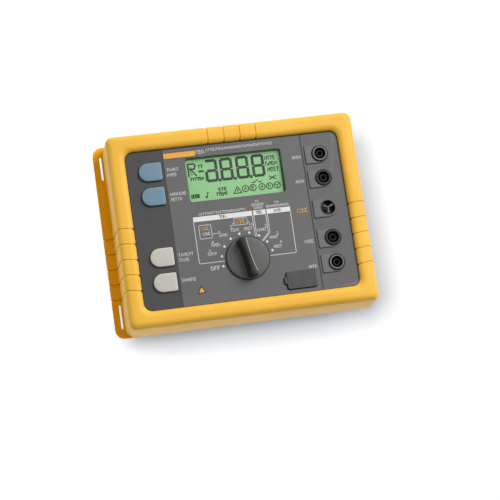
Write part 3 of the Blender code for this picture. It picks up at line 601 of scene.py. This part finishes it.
def grip_profile(u):
    """The grip across, at u, as (across, height): the crest is at its right edge."""
    end = max(0.0, (abs(u) - 16.4) / 2.4)
    nose = math.sqrt(max(0.0, 1 - min(1.0, end) ** 2))
    right, left = (reach * (0.45 + 0.55 * nose) for reach in grip_edges(u))
    low, high = 2.4, 12.6 + 2.7 * nose
    fall = 1.2 * nose
    points = []
    for step in range(FLANK_STEPS + 1):
        t = step / FLANK_STEPS
        points.append((-(right + 3.6 * (0.5 + 0.5 * nose) * (1 - t) ** 2.2), low + (high - low) * t))
    for t in (0.25, 0.5, 0.75):
        points.append((-right + (left + right) * t, high - fall * t ** 1.3))
    for step in range(FLANK_STEPS + 1):
        t = step / FLANK_STEPS
        points.append((left + 2.5 * (0.5 + 0.5 * nose) * t ** 1.8,
                       high - fall - (high - fall - low) * t))
    return points


def build_knob():
    """Thin domed disc on a dark skirt, its shaft, a waisted grip across it, and a light line along the
    crest's right edge that is partly the pointer and partly painted highlight.
    """
    centre, rim = (0.0, KNOB_Y), 20.15
    dome = [(0.0, 1.0), (rim, 1.0), (rim, 1.6), (rim - 0.15, 1.8), (rim - 0.5, 1.95), (rim - 1.1, 2.05)]
    dome += [(r, 2.1 + 1.1 * (1 - (r / 19.0) ** 2)) for r in (18.6, 15.0, 11.0, 7.0, 3.0, 0.0)]
    disc = turned("knob_disc", dome, centre, "knob_grey", "knob", 96)
    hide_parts("range_knob")
    skirt = [(0.0, 0.5), (20.5, 0.5), (20.8, 0.7), (20.8, 1.5), (20.6, 1.7), (0.0, 1.7)]
    turned("knob_skirt", skirt, centre, "rubber_black", "knob", 96)
    core = [(0.0, -29.0), (3.0, -29.0), (3.0, 3.0), (1.1, 3.4), (1.1, 9.4), (0.0, 9.4)]
    shaft = turned("shaft_core", core, centre, "steel", "knob")
    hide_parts("switch_shaft")
    stations = [-18.8, -18.6, -18.2, -17.6, -16.9] + [-16 + 2 * i for i in range(17)]
    stations += [16.9, 17.6, 18.2, 18.6, 18.8]
    rings = [[knob_points(u, v, z) for v, z in grip_profile(u)] for u in stations]
    grip = add_piece("knob_grip", rings_mesh(rings), "knob_grip", "knob", angle=45.0)
    bevel(grip, 0.25, angle=40.0)
    # The grip's right flank gets a sheet in the disc's grey, while its left flank and top keep the grip's
    # painted shade.
    sheet = []
    for u in stations[2:-2]:
        flank = grip_profile(u)[:FLANK_STEPS + 1]
        outside = [(v - 0.1, z + 0.02) for v, z in flank]
        inside = [(v + 0.3, z - 0.1) for v, z in reversed(flank)]
        sheet.append([knob_points(u, v, z) for v, z in outside + inside])
    add_piece("knob_flank", rings_mesh(sheet), "knob_grey", "knob", angle=45.0)
    # The light line follows the crest's lit right edge: partly the knob's pointer and partly a painted
    # highlight of that edge.
    line = []
    for u in [-16.4 + 32.8 * i / 24 for i in range(25)]:
        v = -grip_edges(u)[0] + 0.05
        line.append([knob_points(u, v + dv, 15.1 + dz)
                     for dv, dz in ((-0.32, 0.0), (0.32, 0.0), (0.28, 0.55), (-0.28, 0.55))])
    pointer = add_piece("pointer_and_highlight_line", rings_mesh(line), "pointer_and_highlight_grey", "knob")
    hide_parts("knob_pointer")


def build_seal():
    """Thin black seal round the panel, the seam by the socket strip, and painted shadow lines at the socket
    pads' left and bottom edges.
    """
    outer = round_box((102.9, 76.6), 8.4, steps=10)
    inner = round_box((101.75, 75.45), 7.4, steps=10)
    slab("panel_seal", [outer, inner], -0.6, 0.1, "rubber_black")
    seam = corner_box((65.75, 66.8), (-75.6, 75.6), (0.0,) * 4)
    slab("panel_seam", [seam], -0.02, 0.04, "black_plastic")
    edges, left = bmesh.new(), 68.6
    # Painted shadow: dark lines along the left and bottom edge of each raised pad, where its shade falls.
    for y in (*SOCKETS.values(), CLAMP_Y):
        ribbon(edges, (left, y - 8.7), (left, y + 8.3), 0.6)
        ribbon(edges, (left, y - 9.1), (81.0, y - 9.1), 0.6)
    add_piece("pad_painted_shadows", edges, "dark_print_and_shade")


# Sockets and the port cover.

def build_sockets():
    """Shrouded sockets: a dark collar, a pale or dark ring, a deep well and a centre tube."""
    for name, y in SOCKETS.items():
        centre = (SOCKET_X, y)
        body = [(7.75, 1.1), (7.8, 1.9), (7.55, 2.25), (6.9, 2.3), (6.7, 1.9), (5.5, 1.6), (5.4, 1.3),
                (5.3, -6.5), (3.5, -6.5), (3.5, 0.2), (3.2, 0.5), (2.8, 0.5), (2.5, 0.1), (2.5, -24.0),
                (6.9, -24.0), (6.9, -0.9), (7.75, -0.9)]
        socket = turned(name + "_shroud", body, centre, "socket_black", closed=True)
        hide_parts(name + "_socket")
        paint = "ring_light" if name in ("current", "earth") else "ring_dark"
        ring = [(6.75, 1.6), (6.75, 2.2), (6.6, 2.38), (5.7, 2.38), (5.5, 2.2), (5.45, 1.5)]
        turned(name + "_ring", ring, centre, paint, closed=True)


def build_clamp_socket():
    """Multi-pole socket: three dark recesses between ribs that are flush with the pad."""
    centre = (SOCKET_X, CLAMP_Y)
    body = [(0.0, -6.0), (6.8, -6.0), (6.8, -1.2), (6.9, -1.2), (6.9, -20.0), (0.0, -20.0)]
    floor = turned("clamp_recess", body, centre, "socket_black")
    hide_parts("clamp_socket")
    rim = [(7.9, -0.6), (7.9, 0.95), (7.6, 1.05), (7.1, 1.05), (6.85, 0.85), (6.8, -1.5), (7.3, -1.5)]
    turned("clamp_rim", rim, centre, "strip_grey", closed=True)
    arms = []
    for index in range(3):
        a = math.radians(30 + 120 * index)
        half_widths = ((6.8, -1.2), (6.1, -0.7), (4.8, -0.45), (4.8, 0.45), (6.1, 0.7), (6.8, 1.2))
        arms += [(centre[0] + reach * math.cos(a) - offset * math.sin(a),
                  centre[1] + reach * math.sin(a) + offset * math.cos(a)) for reach, offset in half_widths]
        inner = math.radians(90 + 120 * index)
        arms.append((centre[0] + 0.55 * math.cos(inner), centre[1] + 0.55 * math.sin(inner)))
    slab("clamp_ribs", [arms], -2.4, 0.9, "strip_grey", width=0.15)


def build_cover():
    """Soft port cover with a raised border, a finger tab and its hinge knuckle."""
    low, high = panel_box("usb_cover")
    y = (low.y + high.y) / 2
    outline = corner_box((33.5, 60.6), (y - 8.2, y + 8.2), (1.2, 2.2, 2.2, 1.8))
    tab = corner_box((30.9, 35.5), (y - 3.3, y + 3.3), (0.3, 1.9, 1.9, 0.3))
    lid = slab("cover_lid", [outline], 0.35, 1.7, "cover_rubber", "cover", width=0.4)
    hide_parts("usb_cover")
    slab("cover_tab", [tab], 0.45, 1.5, "cover_rubber", "cover", width=0.4)
    inner = corner_box((37.3, 51.5), (y - 6.6, y + 6.6), (1.0, 1.4, 1.4, 1.0))
    slab("cover_pad", [inner], 1.4, 1.88, "cover_rubber", "cover", width=0.3)
    plug = corner_box((36.8, 58.2), (y - 5.3, y + 5.3), (0.8,) * 4)
    slab("cover_plug", [plug], -1.5, 0.5, "cover_rubber", "cover", width=0.3)
    hinge_x, hinge_z = 61.3, 1.2

    def roll(radius, reach):
        turn = [2 * math.pi * i / 16 for i in range(16)]
        return rings_mesh([[(hinge_x + radius * math.cos(a), y + side * reach, hinge_z + radius * math.sin(a))
                            for a in turn] for side in (-1, 1)])

    add_piece("cover_roll", roll(0.8, 8.0), "panel_grey", "cover")
    pin = add_piece("cover_pin", roll(0.4, 8.3), "panel_grey")
    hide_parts("usb_hinge_pin")
    strap = corner_box((59.0, 61.3), (y - 7.6, y + 7.6), (0.0,) * 4)
    slab("cover_strap", [strap], 0.5, 1.55, "panel_grey", "cover", width=0.2)
    # Painted shadow: black sheets under the lid and the tab that show past them only on the left and bottom.
    shade = corner_box((32.2, 60.2), (y - 9.3, y + 8.2), (1.2, 2.2, 2.8, 2.2))
    port = corner_box((36.3, 58.7), (y - 5.8, y + 5.8), (0.8,) * 4)
    slab("cover_painted_shadow", [shade, port], -0.05, 0.12, "rubber_black")
    shade = corner_box((29.8, 34.0), (y - 4.3, y + 3.4), (0.3, 1.9, 2.4, 0.3))
    slab("tab_painted_shadow", [shade], -0.05, 0.1, "rubber_black")


# Printed marks. What is printed over another mark lies between OVER_LOW and OVER_TOP.

PRINT_LOW, PRINT_TOP = -0.02, 0.06
OVER_LOW, OVER_TOP = PRINT_TOP - 0.02, PRINT_TOP + 0.05


def prism(bm, outline, low, top):
    """A closed solid with upright sides on a flat outline."""
    rows = [[bm.verts.new((x, y, z)) for x, y in outline] for z in (low, top)]
    count = len(outline)
    for i in range(count):
        bm.faces.new((rows[0][i], rows[0][(i + 1) % count], rows[1][(i + 1) % count], rows[1][i]))
    bm.faces.new(rows[0])
    bm.faces.new(rows[1])


def ribbon(bm, start, end, width, low=PRINT_LOW, top=PRINT_TOP):
    """A thin raised bar between two points."""
    a, b = Vector(start), Vector(end)
    along = (b - a).normalized() * (width / 2)
    across = Vector((-along.y, along.x))
    corners = (a - along * 0.5 + across, a - along * 0.5 - across, b + along * 0.5 - across,
               b + along * 0.5 + across)
    prism(bm, corners, low, top)


def polyline(bm, points, width, low=PRINT_LOW, top=PRINT_TOP, closed=False):
    """Bars from each point to the next."""
    ends = list(zip(points, points[1:]))
    if closed:
        ends.append((points[-1], points[0]))
    for first, second in ends:
        ribbon(bm, first, second, width, low, top)


def spot(bm, centre, radius):
    """A printed dot."""
    prism(bm, circle(radius, centre, 20), PRINT_LOW, PRINT_TOP)


# Strokes in a unit box. The four marks only suggest small print; the rest are a dial's figures.
MARKS = (
    (((0.0, 0.0), (0.0, 1.0)), ((0.6, 0.0), (0.6, 0.6)), ((0.0, 1.0), (0.4, 1.0))),
    (((0.0, 1.0), (0.6, 1.0)), ((0.3, 0.0), (0.3, 0.75))),
    (((0.0, 0.0), (0.6, 0.0)), ((0.0, 0.5), (0.6, 0.5)), ((0.0, 1.0), (0.6, 1.0)), ((0.0, 0.5), (0.0, 1.0))),
    (((0.0, 0.0), (0.3, 1.0)), ((0.6, 0.15), (0.6, 0.9))),
)
FIGURES = {
    "2": ((0.0, 0.85), (0.2, 1.0), (0.45, 1.0), (0.6, 0.8), (0.55, 0.55), (0.0, 0.0), (0.6, 0.0)),
    "3": ((0.0, 1.0), (0.6, 1.0), (0.3, 0.6), (0.6, 0.35), (0.5, 0.05), (0.25, 0.0), (0.0, 0.1)),
    "4": ((0.45, 0.0), (0.45, 1.0), (0.0, 0.3), (0.65, 0.3)),
    "O": ((0.15, 0.0), (0.0, 0.3), (0.0, 0.7), (0.15, 1.0), (0.45, 1.0), (0.6, 0.7), (0.6, 0.3),
          (0.45, 0.0), (0.15, 0.0)),
    "F": ((0.0, 0.0), (0.0, 1.0), (0.55, 1.0)),
}


def small_print(bm, x, y, length, height, width=0.42, low=PRINT_LOW, top=PRINT_TOP, seed=0):
    """A line of meaningless strokes of the size of small print, centred at x and y."""
    pitch = height * 0.86
    count = max(1, round(length / pitch))
    draw = random.Random(seed + count)
    for index in range(count):
        left = x - length / 2 + index * length / count
        for first, second in MARKS[draw.randrange(len(MARKS))]:
            ends = [(left + px * height, y + (py - 0.5) * height) for px, py in (first, second)]
            ribbon(bm, ends[0], ends[1], width, low, top)


def figure(bm, sign, x, y, height, width):
    """A dial figure centred at x and y."""
    points = [(x + (px - 0.3) * height, y + (py - 0.5) * height) for px, py in FIGURES[sign]]
    polyline(bm, points, width)
    if sign == "F":
        ribbon(bm, (x - 0.3 * height, y + 0.02), (x + 0.15 * height, y + 0.02), width)


def build_range_marks():
    """White dots, figures and box lines round the range knob."""
    white, grey, band, orange, dark = (bmesh.new() for _ in range(5))
    # Each dot after the first has a word and a figure, placed from the dot.
    words = ((-8.5, 3.4), (-7.6, 2.6), (-6.1, 4.2), (-3.4, 4.1), (-0.4, 4.2), (3.2, 5.2), (6.9, 3.6),
             (5.8, 3.2))
    numbers = ((-10.6, 5.7), (-10.4, 5.3), (-9.7, 6.6), (-6.9, 7.3), (3.4, 8.0), (7.4, 8.3),
               (10.7, 6.8), (9.1, 7.3))
    signs = "34334224"
    for index in range(DIAL_POSITIONS):
        a = math.radians(DIAL_FIRST - DIAL_STEP * index)
        x, y = DIAL_RADIUS * math.cos(a), DIAL_Y + DIAL_RADIUS * math.sin(a)
        spot(white, (x, y), 1.1)
        if index:
            (dx, dy), (nx, ny) = words[index - 1], numbers[index - 1]
            small_print(grey, x + dx, y + dy, 8.2, 2.5, 0.5, seed=index)
            figure(grey, signs[index - 1], x + nx, y + ny, 3.0, 0.5)
    for offset, sign in ((-3.3, "O"), (0.0, "F"), (3.0, "F")):
        figure(white, sign, -31.5 + offset, -43.0, 3.4, 0.55)

    band_y = 5.0
    for left, right in ((-46.0, 10.1), (11.2, 22.9), (24.0, 46.8)):
        ribbon(band, (left + 1.15, band_y), (right - 1.15, band_y), 4.6)
    polyline(grey, ((-46.0, 2.7), (-45.9, DIAL_Y), (-21.6, DIAL_Y)), 0.65)
    polyline(grey, ((46.6, 2.7), (46.3, DIAL_Y), (21.6, DIAL_Y)), 0.65)
    for shift in (-0.75, 0.75):
        polyline(grey, ((10.6 + shift, 2.7), (10.6 + shift, -13.6), (11.0 + shift, -17.8)), 0.6)
        polyline(grey, ((23.6 + shift, 2.7), (23.6 + shift, -15.2), (15.9 + shift, -22.8)), 0.6)
    polyline(grey, ((-41.8, -1.2), (-30.4, -1.2), (-30.4, -14.1), (-41.8, -14.1)), 0.55, closed=True)
    polyline(grey, ((-30.4, -10.4), (-24.0, -10.4)), 0.55)
    polyline(grey, ((-8.1, 1.8), (4.4, 1.8), (4.4, -4.7), (-8.1, -4.7)), 0.5, closed=True)
    polyline(grey, ((-8.1, -2.4), (-9.6, -2.4), (-9.6, -5.4)), 0.5)
    polyline(grey, ((4.4, -2.4), (6.0, -2.4), (6.0, -6.4)), 0.5)

    def clamp_sign(bm, x, y, size, width):
        polyline(bm, circle(size * 0.42, (x - size * 0.75, y), 12), width, closed=True)
        for sign in (1, -1):
            polyline(bm, ((x - size * 0.1, y + sign * size * 0.45), (x + size * 0.35, y - sign * size * 0.1),
                          (x + size, y - sign * size * 0.45)), width * 1.2)

    clamp_sign(orange, -36.3, -4.6, 3.4, 0.5)
    clamp_sign(white, -35.4, -9.6, 3.0, 0.5)
    clamp_sign(orange, -2.0, -1.4, 3.8, 0.6)
    clamp_sign(orange, 58.1, 2.0, 4.4, 0.6)

    small_print(grey, -17.5, 9.6, 44.6, 2.1, 0.42, seed=3)
    for x, y, length in ((16.6, 9.6, 9.0), (16.6, 12.7, 12.0), (16.6, 15.8, 4.0), (35.4, 9.8, 22.0),
                         (35.4, 13.0, 4.5)):
        small_print(grey, x, y, length, 2.1, 0.42, seed=int(x))
    for x, length in ((-18.0, 6.5), (17.0, 6.0), (35.0, 7.5)):
        small_print(dark, x, band_y, length, 2.6, 0.6, OVER_LOW, OVER_TOP, seed=int(x))
    add_piece("dial_print_white", white, "white_print")
    add_piece("dial_print_lines", grey, "print_grey")
    add_piece("dial_print_bands", band, "white_print")
    add_piece("dial_print_orange", orange, "print_orange")
    add_piece("dial_print_dark", dark, "dark_print_and_shade")


def build_labels():
    """Key and socket legends as plain strokes, the orange strip and the small orange triangle."""
    grey, white, orange, dark = (bmesh.new() for _ in range(4))
    legend_left, legend_height = -64.2, 2.7
    lengths = ((12.0, 9.0), (15.6, 11.0), (14.6, 10.0), (13.5, 0.0))
    for (first, second), name in zip(lengths, KEYS):
        low, high = panel_box(name)
        row = (low.y + high.y) / 2
        small_print(grey, legend_left + first / 2, row + 0.6, first, legend_height, 0.5, seed=int(row))
        if second:
            small_print(grey, legend_left + second / 2, row - 4.4, second, legend_height, 0.5,
                        seed=int(row) + 5)
    for y in SOCKETS.values():
        small_print(grey, 60.2, y - 1.3, 8.2, legend_height, 0.5, seed=int(y) + 9)
    small_print(white, -30.6, 69.6, 9.4, 3.2, 0.55, seed=17)
    small_print(grey, 7.4, 70.7, 64.0, 2.2, 0.42, seed=21)
    strip_y = 68.9
    ribbon(dark, (-64.5, strip_y), (-36.3, strip_y), 6.2)
    ribbon(orange, (-64.3, strip_y), (-36.7, strip_y), 5.2, OVER_LOW, OVER_TOP)
    add_piece("legend_print", grey, "print_grey")
    add_piece("title_print", white, "white_print")
    add_piece("orange_print", orange, "print_orange")
    add_piece("print_borders", dark, "knob_black")
    edge = ((-51.6, -65.0), (-43.0, -65.0), (-47.3, -57.1))
    fill = ((-50.0, -64.1), (-44.6, -64.1), (-47.3, -59.1))
    slab("triangle_edge", [edge], PRINT_LOW, PRINT_TOP, "knob_black")
    slab("triangle_mark", [fill], PRINT_LOW, OVER_TOP, "print_orange")


# The display's segments, just above the cell.

def build_display():
    """Seven-segment figures and small symbols, and the shade along the edge of the display."""
    low, high = panel_box("display_cell")
    bottom, top = high.z - 0.02, high.z + 0.06
    bm = bmesh.new()

    def bar(start, end, width):
        ribbon(bm, start, end, width, bottom, top)

    def line(points, width, closed=False):
        polyline(bm, points, width, bottom, top, closed)

    half_x, half_y, middle, stroke = 4.85, 9.75, 51.5, 2.7
    for index, x in enumerate((-21.6, -7.1, 8.3, 23.4)):
        for row in (-1, 0, 1):
            inset = 0.9 if row else 1.5
            place = middle + row * half_y
            bar((x - half_x + inset, place), (x + half_x - inset, place), stroke)
        for column in (-1, 1):
            for row in (-1, 1):
                if index == 0 and (column, row) == (-1, 1):
                    continue
                side_x = x + column * half_x
                bar((side_x, middle + row * 1.1), (side_x, middle + row * (half_y - 0.7)), stroke)
        if index < 3:
            bar((x + 7.1, 40.8), (x + 7.1, 42.2), 2.8)
    line(((-43.4, 48.0), (-43.4, 60.0), (-37.4, 60.0), (-36.4, 58.0), (-37.4, 55.0), (-43.4, 55.0)), 1.5)
    line(((-40.6, 54.6), (-36.2, 48.0)), 1.4)
    line(((-41.2, 57.6), (-41.2, 49.6), (-39.6, 49.6)), 0.7)
    bar((-33.4, 52.0), (-29.4, 52.0), 2.0)
    for x, y, length, height in ((-36.0, 45.0, 13.0, 2.6), (-31.2, 56.6, 5.0, 3.0), (35.7, 57.8, 10.4, 3.4),
                                 (36.5, 52.3, 10.8, 3.4), (37.5, 46.4, 11.6, 3.4), (-13.2, 32.4, 8.0, 2.8),
                                 (-14.5, 28.0, 11.0, 2.8)):
        small_print(bm, x, y, length, height, 0.95, bottom, top, seed=int(y))
    line(((14.6, 35.6), (17.6, 35.6), (20.8, 37.8)), 1.0)
    line(((21.6, 35.6), (24.4, 35.6)), 1.0)
    sign_y = 38.4
    for sign in (1, -1):
        line(((32.6, sign_y + sign * 1.6), (35.6, sign_y - sign * 0.3), (38.9, sign_y - sign * 1.6)), 1.1)
    ring_y, ring_places = 30.5, (8.3, 15.5, 24.2, 31.6, 38.9)
    for x in ring_places:
        line(circle(3.0, (x, ring_y), 20), 0.9, True)
    for x in ring_places[:-1]:
        small_print(bm, x + 0.1, ring_y, 2.2, 2.6, 0.8, bottom, top, seed=int(x))
    x, reach = ring_places[-1], 2.6
    for angle in (30, 150, 270):
        a = math.radians(angle)
        bar((x, ring_y), (x + reach * math.cos(a), ring_y + reach * math.sin(a)), 0.8)
    line(((-3.2, 27.0), (0.6, 33.2), (4.4, 27.0)), 1.0, True)
    bar((0.6, 28.6), (0.6, 30.6), 1.0)
    line(((-28.6, 26.6), (-28.6, 31.0), (-26.8, 30.2)), 0.8)
    bar((-30.2, 26.4), (-29.2, 26.6), 1.9)
    line(((-43.6, 27.0), (-36.4, 27.0), (-36.4, 30.0), (-43.6, 30.0)), 0.9, True)
    for x in (-42.0, -39.8, -37.8):
        bar((x, 27.8), (x, 29.2), 1.7)
    add_piece("display_segments", bm, "segment_dark")

    row = 43.45
    outer = round_box((45.95, 21.3), 2.5, (0.0, row))
    # Painted shadow of the recess walls: the dark band is wide along the right and top edges and nearly nil
    # on the left and bottom.
    inner = [(x - (1.0 + 0.02 * (65.0 - y)) if x > 0 else x + 0.06, y - 0.7 if y > row else y + 0.06)
             for x, y in outer]
    slab("display_painted_shadow", [outer, inner], high.z + 0.02, high.z + 0.4, "display_shade")


# Floor, light and camera. A light has its place in frame metres, its watts and its width. The sky
# is brighter the further a direction leans along SKY_LEAN. The camera is in panel millimetres.

FLOOR_HALF = 6.0
SKY_LEAN, SKY_LEVEL = (-0.07, 0.36, 0.145), 0.31
KEY_LIGHT = ((1.5, 1.0, 2.0), 62.0, 1.5)
FLOOR_LIGHT = ((-0.59, -0.09, 2.3), 46.0, 0.95)
CAMERA_PLACE, CAMERA_AIM, CAMERA_UP = (-213.5, -293.2, 1399.4), (3.0, -29.8, 0.0), (0.1183, 0.9723, 0.2013)
CAMERA_LENS, CAMERA_SENSOR = 110.8, 36.0


def build_stage():
    """Plain white floor, soft lights and the camera."""
    mesh = bpy.data.meshes.new("floor")
    corners = [(x * FLOOR_HALF, y * FLOOR_HALF, 0.0) for x, y in ((-1, -1), (1, -1), (1, 1), (-1, 1))]
    mesh.from_pydata(corners, [], [(0, 1, 2, 3)])
    floor = bpy.data.objects.new("floor", mesh)
    bpy.context.scene.collection.objects.link(floor)
    n = Nodes("floor")
    white = n.mix(n.noise(3.0), (0.94, 0.945, 0.955), (0.955, 0.96, 0.965))
    n.link(white, n.shader.inputs["Base Color"])
    n.set(Roughness=0.9)
    n.set(Specular_IOR_Level=0.1)
    n.set(Emission_Color=(0.55, 0.75, 1.0, 1.0))
    n.set(Emission_Strength=0.1)
    mesh.materials.append(n.material)

    world = bpy.data.worlds.new("studio")
    world.use_nodes = True
    tree = world.node_tree
    tree.nodes["Background"].inputs["Color"].default_value = (1.0, 1.0, 1.0, 1.0)
    sky = tree.nodes.new("ShaderNodeTexCoord")
    lean = tree.nodes.new("ShaderNodeVectorMath")
    lean.operation = "DOT_PRODUCT"
    lean.inputs[1].default_value = SKY_LEAN
    level = tree.nodes.new("ShaderNodeMath")
    level.operation = "ADD"
    level.use_clamp = True
    level.inputs[1].default_value = SKY_LEVEL
    tree.links.new(sky.outputs["Generated"], lean.inputs[0])
    tree.links.new(lean.outputs["Value"], level.inputs[0])
    tree.links.new(level.outputs["Value"], tree.nodes["Background"].inputs["Strength"])
    bpy.context.scene.world = world
    bpy.context.scene.view_settings.view_transform = "Standard"

    def area(name, place, power, width, state):
        """A square lamp aimed at the panel that lights all but the floor, or only the floor."""
        light = bpy.data.lights.new(name, "AREA")
        light.energy = power
        light.size = width
        thing = bpy.data.objects.new(name, light)
        thing.location = Vector(place)
        thing.rotation_mode = "QUATERNION"
        thing.rotation_quaternion = (PANEL - thing.location).to_track_quat("-Z", "Y")
        bpy.context.scene.collection.objects.link(thing)
        lit = bpy.data.collections.new(name + "_receivers")
        lit.objects.link(floor)
        lit.collection_objects[0].light_linking.link_state = state
        thing.light_linking.receiver_collection = lit

    area("key_light", *KEY_LIGHT, "EXCLUDE")
    area("floor_light", *FLOOR_LIGHT, "INCLUDE")

    camera = bpy.data.cameras.new("camera")
    camera.sensor_width = CAMERA_SENSOR
    camera.lens = CAMERA_LENS
    view = bpy.data.objects.new("camera", camera)
    place = at(CAMERA_PLACE)
    forward = (at(CAMERA_AIM) - place).normalized()
    right = forward.cross(Vector(CAMERA_UP)).normalized()
    up = right.cross(forward)
    turn = Matrix((right, up, -forward)).transposed()
    view.matrix_world = Matrix.Translation(place) @ turn.to_4x4()
    bpy.context.scene.collection.objects.link(view)
    bpy.context.scene.camera = view


paint_frame()
build_boot()
build_keys()
build_knob()
build_seal()
build_sockets()
build_clamp_socket()
build_cover()
build_range_marks()
build_labels()
build_display()
build_stage()
